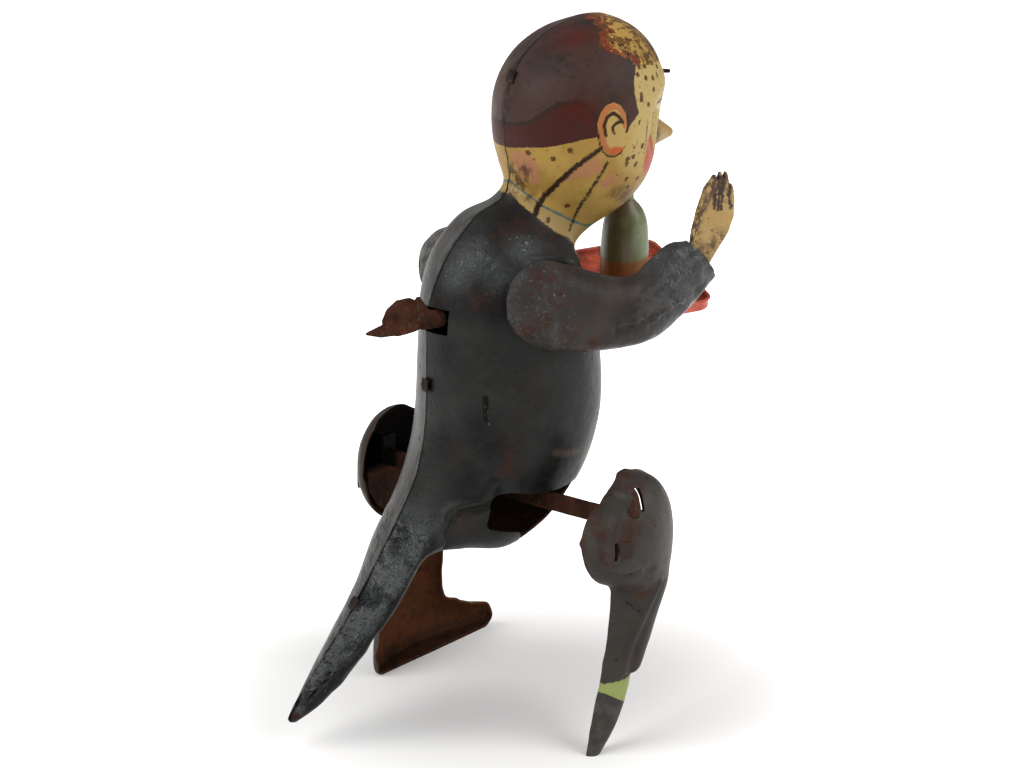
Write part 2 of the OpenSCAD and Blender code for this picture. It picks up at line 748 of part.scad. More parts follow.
// Flat wrist in the cuff with a palm under the tray
module left_hand() {
    color("#d9b877")
        difference() {
            union() {
                on_tray()
                    translate([palm_at[0], palm_at[1], -palm_t - palm_gap])
                        cylinder(r = palm_r, h = palm_t);
                across_x(arm_offset - hand_t / 2, hand_t)
                    polygon(wrist_outline);
            }
            on_tray()
                translate([palm_at[0], palm_at[1], -5])
                    cylinder(r = tray_rivet_r, h = 10);
        }
}
module rounded(w, d, r) {
    square([w - 2 * r, d], center = true);
    square([w, d - 2 * r], center = true);
    for (x = [-1, 1], y = [-1, 1])
        translate([x * (w / 2 - r), y * (d / 2 - r)])
            circle(r = r);
}
module tray() {
    color("#c4482a")
        on_tray()
            difference() {
                linear_extrude(tray_rim)
                    rounded(tray_w, tray_d, tray_corner);
                translate([0, 0, tray_t])
                    linear_extrude(tray_rim)
                        rounded(tray_w - 2 * tray_t, tray_d - 2 * tray_t, tray_corner - tray_t);
                translate([palm_at[0], palm_at[1], -1])
                    cylinder(r = tray_rivet_r, h = 4);
                translate([bottle_on_tray[0], bottle_on_tray[1], -1])
                    cylinder(r = nail_r, h = 4);
            }
}
// Turned bottle, its outline as [share of the radius, height]
module bottle() {
    outline = [[0, 0], [0.98, 0], [1, 4], [1, 9], [0.985, 12], [0.93, 16], [0.8, 19], [0.62, 21.2],
        [0.38, 22.8], [0.31, 23.8], [0.31, 25.8], [0.37, 26], [0.37, 27], [0, 27]];
    color("#7d9a63")
        on_tray()
            translate([bottle_on_tray[0], bottle_on_tray[1], tray_t])
                difference() {
                    rotate_extrude()
                        polygon([for (p = outline) [bottle_r * p[0], p[1]]]);
                    translate([0, 0, -1])
                        cylinder(r = nail_r, h = nail_depth + 1);
                }
}
module tray_rivet() {
    color("#7d766b")
        on_tray()
            translate([palm_at[0], palm_at[1], -palm_t - palm_gap]) {
                cylinder(r = tray_rivet_r, h = palm_t + palm_gap + tray_t);
                translate([0, 0, -0.6])
                    cylinder(r = 2 * tray_rivet_r, h = 0.6);
                translate([0, 0, palm_t + palm_gap + tray_t])
                    cylinder(r = 2 * tray_rivet_r, h = 0.5);
            }
}
module bottle_nail() {
    color("#7d766b")
        on_tray()
            translate([bottle_on_tray[0], bottle_on_tray[1], 0]) {
                cylinder(r = nail_r, h = tray_t + nail_depth);
                translate([0, 0, -0.4])
                    cylinder(r = 1.5, h = 0.4);
            }
}

// Whole figure, moved so that the origin is under the middle of its outline
module place() {
    scale(figure_scale)
        translate(pivot_at)
            children();
}

place() body_shell_right();
place() body_shell_left();
place() seam_tabs();
place() nose_cone();
place() movement_plate_rear();
place() movement_plate_front();
place() movement_pillars();
place() mainspring();
place() pivot_bridge();
place() pivot_pin();
place() pivot_washer();
place() rocker_lever();
place() hip_crossbar();
place() crossbar_rivets();
place() right_leg_shell();
place() left_leg_shell();
place() winding_key();
place() winding_arbor();
place() ratchet_wheel();
place() great_wheel();
place() click();
place() click_rivet();
place() second_arbor();
place() second_wheel();
place() crank_arbor();
place() crank_disc();
place() crank_pin();
place() right_sleeve_outer();
place() right_sleeve_inner();
place() right_hand();
place() right_shoulder_rivet();
place() left_sleeve_outer();
place() left_sleeve_inner();
place() left_hand();
place() left_shoulder_rivet();
place() tray();
place() bottle();
place() tray_rivet();
place() bottle_nail();
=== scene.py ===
"""Looks of a wind up tin walking figure: a waiter in a tail coat, with a tray and a bottle."""
import logging
import math
from dataclasses import dataclass
from enum import Enum
from typing import Any, Sequence

import bmesh
import bpy
import numpy as np
from mathutils import Matrix, Vector


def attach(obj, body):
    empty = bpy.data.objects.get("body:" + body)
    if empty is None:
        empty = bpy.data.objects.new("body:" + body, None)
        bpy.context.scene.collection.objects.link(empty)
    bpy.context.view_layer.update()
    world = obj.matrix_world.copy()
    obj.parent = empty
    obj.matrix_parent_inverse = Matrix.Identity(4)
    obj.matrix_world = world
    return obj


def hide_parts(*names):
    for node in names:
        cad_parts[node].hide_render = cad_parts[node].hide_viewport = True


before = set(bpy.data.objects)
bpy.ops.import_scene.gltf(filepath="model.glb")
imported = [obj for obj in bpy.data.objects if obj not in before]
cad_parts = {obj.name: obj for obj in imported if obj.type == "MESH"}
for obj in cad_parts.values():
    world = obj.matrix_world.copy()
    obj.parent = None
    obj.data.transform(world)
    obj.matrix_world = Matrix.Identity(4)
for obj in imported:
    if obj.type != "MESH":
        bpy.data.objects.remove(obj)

LOG = logging.getLogger("tin_waiter")
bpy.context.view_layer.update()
Array = np.ndarray
Object = bpy.types.Object
Socket = bpy.types.NodeSocket
Place = tuple[float, float, float]
Chain = Sequence[Sequence[float]]
Coats = list[tuple[Socket, str]]
Faces = list[tuple[int, ...]]
Opening = tuple[Chain, float, float]

MM = 0.001  # metres
PER_METRE = 1000.0  # mm
PIVOT = np.array((-1.2, -2.57, 0.0))  # mm, the rocker's pivot in the row frame
TIN = 0.6  # mm, thickness of the pressed tin plate
RIGHT, LEFT = -1, 1  # side of the figure along X
SHOULDER = (3.5, 109.5)  # mm, Y and Z of the arms' rivets
RIVET_HOLE = 1.6  # mm, radius of the holes that these rivets go through
SLEEVE_RIM = 23.6  # mm, how far out the halves of a sleeve meet
LEG_RIM = 35.0  # mm, how far out the open side of a leg lies
KEY_AXIS = (-3.5, 104.0)  # mm, X and Z of the winding arbor
OFF = -9.0  # mm, depth of a printed area that a place does not have
AWAY = -50.0  # mm, what an area's depth loses where it may not print
INK_IOR = 1.5  # of varnish, enamel and paint
WHITE = (1.0, 1.0, 1.0, 1.0)
# How tight a pattern is along each axis
EVEN, TALL, TALLER = (1.0, 1.0, 1.0), (1.0, 1.0, 0.6), (1.0, 1.0, 0.5)
HASH = (73856093, 19349663, 83492791)  # primes that mix the three numbers of a cell


# Measuring and unevenness

def bend(share: Array) -> Array:
    """Ease a share from 0 to 1 at both ends."""
    return share * share * (3.0 - 2.0 * share)


def ramp(value: Array, low: float, high: float) -> Array:
    """Rise smoothly from 0 at low to 1 at high."""
    return bend(np.clip((value - low) / (high - low), 0.0, 1.0))


def grit(points: Array, size_mm: float | Sequence[float], seed: int) -> Array:
    """Give smooth seeded unevenness.

    Args:
        points: Places in mm, one row each.
        size_mm: Size of one bump, or one size for each axis.
        seed: Which pattern.

    Returns:
        One value from -1 to 1 for each place.
    """
    place = points / np.asarray(size_mm, float) + seed * 17.31
    cell = np.floor(place).astype(np.int64)
    part = bend(place - cell)
    total = np.zeros(len(points))
    for corner in range(8):
        step = np.array((corner & 1, corner >> 1 & 1, corner >> 2 & 1))
        code = np.bitwise_xor.reduce((cell + step) * np.array(HASH), axis=1) ^ (seed * 7919)
        code = ((code ^ (code >> 13)) * 1274126177) & 0x7FFFFFFF
        code = (code ^ (code >> 15)) & 0xFFFF
        total += np.prod(np.where(step, part, 1.0 - part), axis=1) * (code / 32767.5 - 1.0)
    return total


def line_distance(points: Array, line: Chain) -> Array:
    """Give the distance of each point, flat or in space, to a chain of straight pieces.

    Args:
        points: Places, one row each, flat or in space.
        line: Corners of the chain, with as many values each as a place has.

    Returns:
        One distance for each place.
    """
    chain = np.asarray(line, float)
    best = np.full(len(points), 1e9)
    for start, end in zip(chain[:-1], chain[1:]):
        along = end - start
        share = np.clip((points - start) @ along / max(along @ along, 1e-9), 0.0, 1.0)
        best = np.minimum(best, np.linalg.norm(points - start - share[:, None] * along, axis=1))
    return best


def area_depth(points: Array, outline: Chain) -> Array:
    """Give how deep each flat point lies inside an outline, negative outside it.

    Args:
        points: Flat places, one row each.
        outline: Corners of the area, in order.

    Returns:
        One depth for each place, below 0 outside the area.
    """
    corners = np.asarray(outline, float)
    ring = np.vstack((corners, corners[:1]))
    odd = np.zeros(len(points), bool)
    for (ax, ay), (bx, by) in zip(ring[:-1], ring[1:]):
        if ay == by:
            continue
        crosses = (ay > points[:, 1]) != (by > points[:, 1])
        odd ^= crosses & (points[:, 0] < ax + (points[:, 1] - ay) * (bx - ax) / (by - ay))
    return np.where(odd, 1.0, -1.0) * line_distance(points, ring)


def spots(points: Array, centres: Chain, radius_mm: float) -> Array:
    """Give 1 at the centre of each soft round spot and 0 from its radius outwards.

    Args:
        points: Places, one row each, flat or in space.
        centres: Middles of the spots.
        radius_mm: How far a spot reaches.

    Returns:
        One value from 0 to 1 for each place.
    """
    best = np.zeros(len(points))
    for centre in centres:
        best = np.maximum(best, 1.0 - np.linalg.norm(points - np.asarray(centre), axis=1) / radius_mm)
    return bend(best)


def ridge(points: Array, line: Chain, width_mm: float) -> Array:
    """Give a rounded ridge of height 1 along a chain."""
    return np.exp(-(line_distance(points, line) / width_mm) ** 2)


def only(where: Array) -> Array:
    """Give what is added to an area's depth, so that it prints nowhere else."""
    return np.where(where, 0.0, AWAY)


def blank(points: Array, areas: Sequence[str], zones: Sequence[str]) -> dict[str, Array]:
    """Give empty printed areas and empty zones, one value for each point."""
    count = len(points)
    return {name: np.full(count, OFF) for name in areas} | {name: np.zeros(count) for name in zones}


@dataclass(frozen=True)
class Stance:
    """How a group of pieces is turned from the way it was drawn."""

    axis: str = "Z"
    degrees: float = 0.0
    centre: Place = (0.0, 0.0, 0.0)

    def matrix(self) -> Array:
        """Give the turn as three rows."""
        return np.array(Matrix.Rotation(math.radians(self.degrees), 3, self.axis))

    def to_row(self, points: Array) -> Array:
        """Turn drawn places in mm into row places in metres."""
        centre = np.array(self.centre)
        return ((points - centre) @ self.matrix().T + centre + PIVOT) * MM

    def from_row(self, points: Array) -> Array:
        """Turn row places in metres back into drawn places in mm."""
        centre = np.array(self.centre)
        return (points * PER_METRE - PIVOT - centre) @ self.matrix() + centre


FIGURE = Stance()
STRIDE = Stance("Z", 22.5)
LOWERED = Stance("X", 28.0, (0.0, *SHOULDER))


# Nodes

def linear(code: str) -> tuple[float, float, float, float]:
    """Turn an sRGB hex colour into linear values."""
    parts = [int(code[i:i + 2], 16) / 255.0 for i in (1, 3, 5)]
    return tuple(c / 12.92 if c <= 0.04045 else ((c + 0.055) / 1.055) ** 2.4 for c in parts) + (1.0,)


@dataclass(frozen=True)
class Nodes:
    """One material's nodes, and the patterns that are laid with them."""

    tree: bpy.types.NodeTree

    def feed(self, node: bpy.types.Node, inputs: dict[Any, Any]) -> None:
        """Link a node's inputs to sockets, or give them plain values.

        Args:
            node: The node.
            inputs: Socket name or number, with the value or the socket that feeds it.
        """
        for key, value in inputs.items():
            if isinstance(value, Socket):
                self.tree.links.new(value, node.inputs[key])
            else:
                node.inputs[key].default_value = value

    def add(self, kind: str, inputs: dict[Any, Any] | None = None, output: int | str = 0,
            **settings: Any) -> Socket:
        """Add one node.

        Args:
            kind: Blender's name of the node.
            inputs: Socket name or number, with the value or the socket that feeds it.
            output: Name or number of the output that is wanted.
            settings: The node's own settings.

        Returns:
            That output.
        """
        node = self.tree.nodes.new(kind)
        for key, value in settings.items():
            setattr(node, key, value)
        self.feed(node, inputs or {})
        return node.outputs[output]

    def carried(self, name: str) -> Socket:
        """Give the value that a mesh carries under a name."""
        return self.add("ShaderNodeAttribute", output="Fac", attribute_name=name)

    def rise(self, value: Socket, low: float, high: float, amount: float) -> Socket:
        """Rise smoothly from 0 at low to amount at high."""
        ends = {"Value": value, "From Min": low, "From Max": high, "To Max": amount}
        return self.add("ShaderNodeMapRange", ends, interpolation_type="SMOOTHSTEP")

    def patch(self, size_mm: float, low: float, high: float, amount: float = 1.0, stretch: Place = EVEN,
              detail: float = 3.0) -> Socket:
        """Add soft patches of one real size.

        Args:
            size_mm: Size of a patch.
            low: Level of the pattern where a patch begins.
            high: Level where it is full.
            amount: Strength of a full patch.
            stretch: How much tighter the pattern is along each axis.
            detail: How finely the edges break up.

        Returns:
            A mask from 0 to amount.
        """
        place = self.add("ShaderNodeTexCoord", output="Object")
        if stretch != EVEN:
            place = self.add("ShaderNodeMapping", {"Vector": place, "Scale": stretch})
        cloud = self.add("ShaderNodeTexNoise", {
            "Vector": place, "Scale": PER_METRE / size_mm, "Detail": detail, "Roughness": 0.6})
        return self.rise(cloud, low, high, amount)

    def area(self, name: str, soft_mm: float = 0.2, ragged_mm: float = 0.0, grain_mm: float = 1.2,
             amount: float = 1.0) -> Socket:
        """Add the mask of a printed area that a mesh carries as depth in mm, with a worn edge.

        Args:
            name: The mesh's value.
            soft_mm: Half the width over which the edge fades.
            ragged_mm: How far wear moves the edge.
            grain_mm: Size of the worn nibbles.
            amount: Strength inside.

        Returns:
            A mask from 0 to amount.
        """
        depth = self.carried(name)
        if ragged_mm:
            worn = self.patch(grain_mm, 0.25, 0.75, 2.0 * ragged_mm)
            depth = self.add("ShaderNodeMath", {0: depth, 1: worn}, operation="SUBTRACT")
        return self.rise(depth, -soft_mm - ragged_mm, soft_mm - ragged_mm, amount)

    def line(self, name: str, half_mm: float, amount: float = 1.0) -> Socket:
        """Add the mask of a line, of so much half width, that a mesh carries as signed distance in mm.

        Args:
            name: Name of the value that the mesh carries.
            half_mm: Half the line's width.
            amount: Strength in the middle of the line.

        Returns:
            The mask.
        """
        away = self.add("ShaderNodeMath", {0: self.carried(name)}, operation="ABSOLUTE")
        worn = self.patch(1.5, 0.25, 0.75, 0.3 * half_mm)
        away = self.add("ShaderNodeMath", {0: away, 1: worn}, operation="ADD")
        return self.rise(away, 1.2 * half_mm, 0.7 * half_mm, amount)

    def both(self, one: Socket, other: Socket, **settings: Any) -> Socket:
        """Keep a mask only where another one is."""
        return self.add("ShaderNodeMath", {0: one, 1: other}, operation="MULTIPLY", **settings)

    def zone(self, name: str, mask: Socket) -> Socket:
        """Keep a mask only where a mesh's value from 0 to 1 allows it."""
        return self.both(self.carried(name), mask, use_clamp=True)

    def on(self, mask: Socket, *patch: Any) -> Socket:
        """Add patches that only a mask's area shows."""
        return self.both(mask, self.patch(*patch))

    def spotted(self, name: str, *patch: Any, **more: Any) -> Socket:
        """Add patches that only a mesh's zone shows."""
        return self.zone(name, self.patch(*patch, **more))

    def coats(self, base: str, layers: Coats) -> Any:
        """Lay hex colours over each other by their masks, lowest first.

        Args:
            base: Colour under all the coats.
            layers: Mask and colour of each coat, lowest first.

        Returns:
            The colour on top.
        """
        found: Any = linear(base)
        for mask, code in layers:
            found = self.add("ShaderNodeMix", {0: mask, 6: found, 7: linear(code)}, 2, data_type="RGBA")
        return found

    def levels(self, base: float, layers: Sequence[tuple[Socket, float]]) -> Any:
        """Lay numbers such as roughness over each other by their masks, lowest first.

        Args:
            base: Number under all the layers.
            layers: Mask and number of each layer, lowest first.

        Returns:
            The number on top.
        """
        found: Any = base
        for mask, value in layers:
            found = self.add("ShaderNodeMix", {0: mask, 2: found, 3: value}, data_type="FLOAT")
        return found

    def bumps(self, parts: Sequence[tuple[Socket, float]]) -> dict[str, Socket]:
        """Give the surface's normal, from patterns and their heights in mm.

        Args:
            parts: Mask and height in mm of each kind of bump.

        Returns:
            The normal, by the name of the input that it feeds.
        """
        found: dict[str, Socket] = {}
        for height, height_mm in parts:
            inputs = {"Height": height, "Distance": abs(height_mm) * MM, "Strength": 1.0, **found}
            found = {"Normal": self.add("ShaderNodeBump", inputs, invert=height_mm < 0)}
        return found


# Finishes
# A patch is given as its size in mm, the levels where it begins and is full, and its strength.

@dataclass(frozen=True)
class Finish:
    """One material, made once and shared."""

    name: str

    def material(self) -> bpy.types.Material:
        """Give the material, and make it the first time.

        Returns:
            The material.
        """
        found = bpy.data.materials.get(self.name)
        if found is None:
            found = bpy.data.materials.new(self.name)
            found.use_nodes = True
            nodes = Nodes(found.node_tree)
            nodes.feed(found.node_tree.nodes["Principled BSDF"], self.surface(nodes))
        return found

    def surface(self, n: Nodes) -> dict[str, Any]:
        """Give what feeds each input of the surface."""
        raise NotImplementedError


class Sheet(Enum):
    """Which pressing a lithographed sheet is for."""

    BODY = "body"
    SLEEVE = "sleeve"
    LEG = "leg"


# Offset lithograph ink and varnish on tin plate, then pressed and worn by a century of handling:
# a dark satin film with a soft grey sheen, pits and bright scratches, and brown rust coming through.
# The sheen and the glints are partly painted into the colour, the left side is a paler, partly lit copy,
# and dark lines and patches are partly painted shade in creases, crevices and along the tail's front edge.
@dataclass(frozen=True)
class LithographedTin(Finish):
    """Printed tin plate of the coat, the trousers and the head."""

    sheet: Sheet
    coat: str
    faded: str
    gloss: float
    hair: str = "#42302b"

    def surface(self, n: Nodes) -> dict[str, Any]:
        """Give what feeds each input of the surface.

        Args:
            n: The material's nodes.

        Returns:
            The value or the socket for each input, by name.
        """
        rust = n.spotted("rust", 2.2, 0.42, 0.54, 0.9)
        freckles = n.patch(1.6, 0.66, 0.72, 0.7)
        pale, dark = n.area("pale", 0.12, 0.2, 0.6, 0.8), n.area("dark", 0.25, 0.12, 0.8, 0.95)
        creased = n.spotted("crumple", 3.6, 0.36, 0.64, detail=4.0)
        gloss = n.spotted("gloss", 6.0, 0.15, 0.5)
        glints = n.spotted("glint", 0.9, 0.63, 0.69, 0.8)
        layers = [
            (n.patch(15.0, 0.36, 0.70, 0.8), self.faded), (n.patch(7.0, 0.46, 0.70, 0.5), self.coat),
            (n.patch(3.0, 0.48, 0.74, 0.3), "#33302d"), (n.patch(9.0, 0.56, 0.74, 0.35), "#2c1b15"),
            # A lighter grey where a painted sheen falls, on worn tin made metallic; near black patches where
            # the tail crumples, painted shade of its creases
            (gloss, "#4b4d4e"), (n.spotted("crumple", 5.0, 0.46, 0.66, 0.75, detail=2.0), "#1c1d1e"),
            # Near black: darker patches of the coat, and painted shade along the tail's front edge
            (n.spotted("dark_patches_and_shade", 5.0, 0.15, 0.5, 0.9), "#090808"),
            (n.spotted("tan", 7.0, 0.1, 0.4, 0.5), "#55483a"), (rust, "#3d1f15"), (freckles, "#140d0a"),
            # Painted glints as bright metallic specks, pale scratches, and dark lines that are mostly painted
            # shade in creases and crevices
            (glints, "#6f7272"), (pale, "#b3ab9b"), (dark, "#070605")]
        rough = [(gloss, 0.27), (creased, 0.22), (rust, 0.7), (freckles, 0.65), (glints, 0.25), (pale, 0.4),
                 (dark, 0.8)]
        if self.sheet is Sheet.LEG:
            shoe, sock = n.area("shoe", 0.15, 0.12), n.area("sock", 0.15, 0.2)
            layers += [
                (sock, "#929b5e"), (n.on(sock, 2.4, 0.5, 0.66, 0.6), "#7f8650"),
                (n.on(sock, 1.0, 0.62, 0.70, 0.6), "#3f3f24"), (shoe, "#3b3834"),
                (n.on(shoe, 4.0, 0.45, 0.7, 0.7), "#524f4a"),
                (n.area("tongue", 0.3, 0.3, 1.4, 0.9), "#3a1f14"),
                (n.spotted("rust", 1.4, 0.52, 0.64, 0.8), "#4f2615"), (dark, "#070605")]
        if self.sheet is Sheet.BODY:
            # The strip past the seam takes the left half's look: paler paint with a painted sheen of the
            # light from the left
            strip = n.area("strip", 0.12)
            layers += [(strip, "#5a5957"), (n.on(strip, 2.2, 0.35, 0.72, 0.8, (1.0, 0.6, 0.25)), "#2d2b29")]
            layers += self.head(n)
            rough += [(strip, 0.36), (n.area("flesh", 0.3), 0.46), (n.area("hair", 0.3), 0.46)]
        bumps = [
            (n.patch(3.0, 0.2, 0.8), 0.08), (n.patch(0.8, 0.60, 0.72), -0.04), (creased, 0.95),
            (n.spotted("crumple", 1.0, 0.35, 0.65, detail=2.0), 0.16),
            (n.spotted("glint", 1.4, 0.3, 0.7), 0.18),
            (n.patch(0.6, 0.2, 0.8, detail=2.0), 0.012), (dark, -0.10)]
        return {"Base Color": n.coats(self.coat, layers), "Roughness": n.levels(self.gloss, rough),
                "Metallic": n.levels(0.0, [(n.both(gloss, gloss), 0.7), (glints, 0.6)]), "IOR": INK_IOR,
                "Specular IOR Level": 0.13, **n.bumps(bumps)}

    def head(self, n: Nodes) -> Coats:
        """Give the coats of the collar, the neck, the hair and the face, lowest first.

        Args:
            n: The material's nodes.

        Returns:
            Mask and colour of each coat, lowest first.
        """
        flesh, hair = n.area("flesh", 0.2, 0.15), n.area("hair", 0.12, 0.12, 1.0)
        worn = n.area("worn", 0.4, 1.5, 2.2)
        return [
            (n.area("shirt", 0.2, 0.1), "#a08855"), (n.area("tie", 0.2, 0.1), "#141312"), (flesh, "#a2813f"),
            (n.on(flesh, 6.0, 0.38, 0.66, 0.8), "#b3924c"), (n.on(flesh, 9.0, 0.52, 0.70, 0.6), "#8f6c33"),
            (n.zone("fair", flesh), "#b8a067"), (n.area("pink", 0.5, 0.8, 2.5, 0.85), "#ab7656"),
            (n.area("rouge", 0.7, 0.3, 2.0, 0.95), "#b14f39"), (n.area("teal", 0.15, 0.1), "#4f6763"),
            (n.on(flesh, 0.8, 0.65, 0.70, 0.8), "#4d3117"),
            (n.spotted("fair", 1.3, 0.60, 0.66, 0.9, TALL, 4.0), "#3a2312"),
            (n.spotted("grime", 1.8, 0.42, 0.54, 0.9, TALLER), "#3f2413"), (hair, self.hair),
            (n.on(hair, 11.0, 0.42, 0.66, 0.8), "#30221e"), (n.on(hair, 5.0, 0.50, 0.72, 0.5), "#442a23"),
            (n.on(hair, 2.0, 0.60, 0.72, 0.6), "#271a16"),
            (n.on(n.zone("red_hair", hair), 5.0, 0.1, 0.45, 0.85), "#3d150f"),
            (n.both(hair, n.line("red_edge", 0.55, 0.65)), "#241b12"),
            (n.spotted("red_spot", 5.0, 0.2, 0.6, 0.75), "#50190f"),
            (n.spotted("soot_spot", 3.0, 0.3, 0.6, 0.85), "#1f1611"), (worn, "#6e3019"),
            (n.on(worn, 2.0, 0.50, 0.60, 0.9, TALL), "#94532b"),
            (n.area("worn_deep", 0.3, 2.4, 1.8), "#ae8a46"),
            (n.spotted("worn_zone", 2.1, 0.47, 0.55, 0.9, TALLER, 4.0), "#5c3a22"),
            (n.spotted("worn_zone", 1.2, 0.57, 0.62, 0.95, TALL), "#281810"),
            (n.spotted("brow_dark", 3.0, 0.40, 0.60, 0.85), "#453026"), (n.area("ear", 0.15), "#b3955a"),
            (n.area("ear_glow", 0.2, 0.1, 0.8), "#ac6c3e"), (n.area("lobe", 0.3, 0.1), "#b9592f"),
            (n.area("ear_line", 0.12), "#34200f"), (n.area("speck", 0.2, 0.3, 0.6, 0.9), "#45280f"),
            (n.area("streak", 0.3, 0.25, 0.8), "#28150b"), (n.area("eye", 0.15), "#d0c4a0"),
            (n.spotted("jaw", 2.2, 0.25, 0.55, 0.8), "#44220f"), (n.area("lip", 0.2, 0.1), "#a2422f"),
            (n.area("drawn", 0.15), "#241a16"), (n.line("seam", 0.7), "#080605")]


# Bare tin plate whose tin has gone: a brown crust with orange bloom, black scale and a few dull
# grey places where metal still shows. Where a mesh asks for it, black painted shade darkens hollows,
# and an orange painted highlight runs along the hip strip's edge.
@dataclass(frozen=True)
class RustyTin(Finish):
    """Unpainted back of the tin plate, and the plain pressed bits."""

    crust: str
    bloom: str
    scale: str
    bare: float
    metal: str = "#6a6159"

    def surface(self, n: Nodes) -> dict[str, Any]:
        """Give what feeds each input of the surface.

        Args:
            n: The material's nodes.

        Returns:
            The value or the socket for each input, by name.
        """
        shine = n.patch(3.2, 0.60, 0.70, self.bare)
        layers = [
            (n.patch(6.0, 0.40, 0.66, 0.8), self.scale), (n.patch(2.2, 0.52, 0.70, 0.75), self.bloom),
            (shine, self.metal), (n.patch(0.7, 0.60, 0.72, 0.6), self.scale),
            # Orange bloom where the mesh's zone asks for it: rust low inside the legs, and a painted
            # highlight along the hip strip's edge
            (n.spotted("warm", 3.5, 0.25, 0.6, 0.85), self.bloom),
            (n.spotted("painted", 5.0, 0.1, 0.45, 0.95), "#3c3631"),
            # Black painted shade where the mesh's zone asks for it: deep in hollows, slots and crevices
            (n.spotted("painted_shade", 4.0, 0.05, 0.3, 0.96), "#050403")]
        return {"Base Color": n.coats(self.crust, layers), "Roughness": n.levels(0.78, [(shine, 0.42)]),
                "Metallic": n.levels(0.0, [(shine, 0.8)]), "Specular IOR Level": 0.07,
                **n.bumps([(n.patch(2.0, 0.25, 0.75), 0.12), (n.patch(0.6, 0.25, 0.75), 0.05)])}


# Air dried enamel on tin: a bright coat, dulled and chipped along the rim down to brown metal.
@dataclass(frozen=True)
class WornEnamel(Finish):
    """Enamel of the tray."""

    colour: str = "#c4452b"
    faded: str = "#d4623f"
    chip: str = "#43281c"

    def surface(self, n: Nodes) -> dict[str, Any]:
        """Give what feeds each input of the surface.

        Args:
            n: The material's nodes.

        Returns:
            The value or the socket for each input, by name.
        """
        chips = n.area("edge", 0.3, 0.8, 2.2, 0.9)
        stains = n.spotted("grime", 3.0, 0.28, 0.62, 0.85)
        layers = [(n.patch(8.0, 0.40, 0.66, 0.7), self.faded), (stains, "#6d3420"),
                  (n.patch(1.1, 0.64, 0.72, 0.8), self.chip), (chips, self.chip)]
        return {"Base Color": n.coats(self.colour, layers), "IOR": INK_IOR,
                "Roughness": n.levels(0.38, [(chips, 0.7), (stains, 0.6)]),
                **n.bumps([(n.patch(2.5, 0.2, 0.8), 0.05), (chips, -0.06)])}


# Turned wood under thin green paint: fine streaks run up the turning, and the foot is stained ochre.
@dataclass(frozen=True)
class PaintedWood(Finish):
    """Paint of the bottle."""

    colour: str = "#6d7b52"
    dark: str = "#596039"
    pale: str = "#8d9a72"
    foot: str = "#86531f"

    def surface(self, n: Nodes) -> dict[str, Any]:
        """Give what feeds each input of the surface.

        Args:
            n: The material's nodes.

        Returns:
            The value or the socket for each input, by name.
        """
        streaks = n.patch(4.5, 0.42, 0.64, 0.9, (1.0, 1.0, 0.16))
        lines = n.patch(1.2, 0.50, 0.68, 0.35, (1.0, 1.0, 0.10))
        foot = n.area("foot", 0.4, 0.4, 2.5, 0.9)
        layers = [
            (streaks, self.dark), (lines, "#4c4e2f"), (n.patch(3.5, 0.56, 0.72, 0.5), self.pale),
            # A darker olive brown band up one side of the bottle
            (n.spotted("darker_band", 3.0, 0.1, 0.5, 0.8, (1.0, 1.0, 0.2)), "#5f5232"), (foot, self.foot),
            (n.both(foot, streaks), "#6c4419"), (n.area("crown", 1.2, 0.5, 2.0, 0.7), "#5a4a30"),
            (n.patch(0.9, 0.64, 0.72, 0.7), "#33301c")]
        return {"Base Color": n.coats(self.colour, layers), "Roughness": n.levels(0.36, [(foot, 0.5)]),
                "IOR": INK_IOR, **n.bumps([(lines, 0.03), (n.patch(0.8, 0.2, 0.8), 0.02)])}


# Flesh coloured enamel on flat tin, yellowed and thin: ochre with brown freckles and dark edges.
@dataclass(frozen=True)
class FleshEnamel(Finish):
    """Enamel of the hands and the nose."""

    colour: str = "#a5854a"
    warm: str = "#9a683f"
    dirt: str = "#3f2616"

    def surface(self, n: Nodes) -> dict[str, Any]:
        """Give what feeds each input of the surface.

        Args:
            n: The material's nodes.

        Returns:
            The value or the socket for each input, by name.
        """
        grooves = n.area("groove", 0.3, 0.35, 0.9)
        grime = n.spotted("grime", 1.7, 0.40, 0.54, 0.95, detail=5.0)
        layers = [
            (n.patch(4.0, 0.40, 0.66, 0.7), "#b59760"), (n.patch(6.0, 0.55, 0.72, 0.5), self.warm),
            (n.patch(1.2, 0.62, 0.70, 0.85), self.dirt), (grime, self.dirt), (grooves, "#2d1c12")]
        return {"Base Color": n.coats(self.colour, layers), "IOR": INK_IOR,
                "Roughness": n.levels(0.5, [(grime, 0.7), (grooves, 0.75)]),
                **n.bumps([(n.patch(1.5, 0.2, 0.8), 0.05), (grooves, -0.2)])}


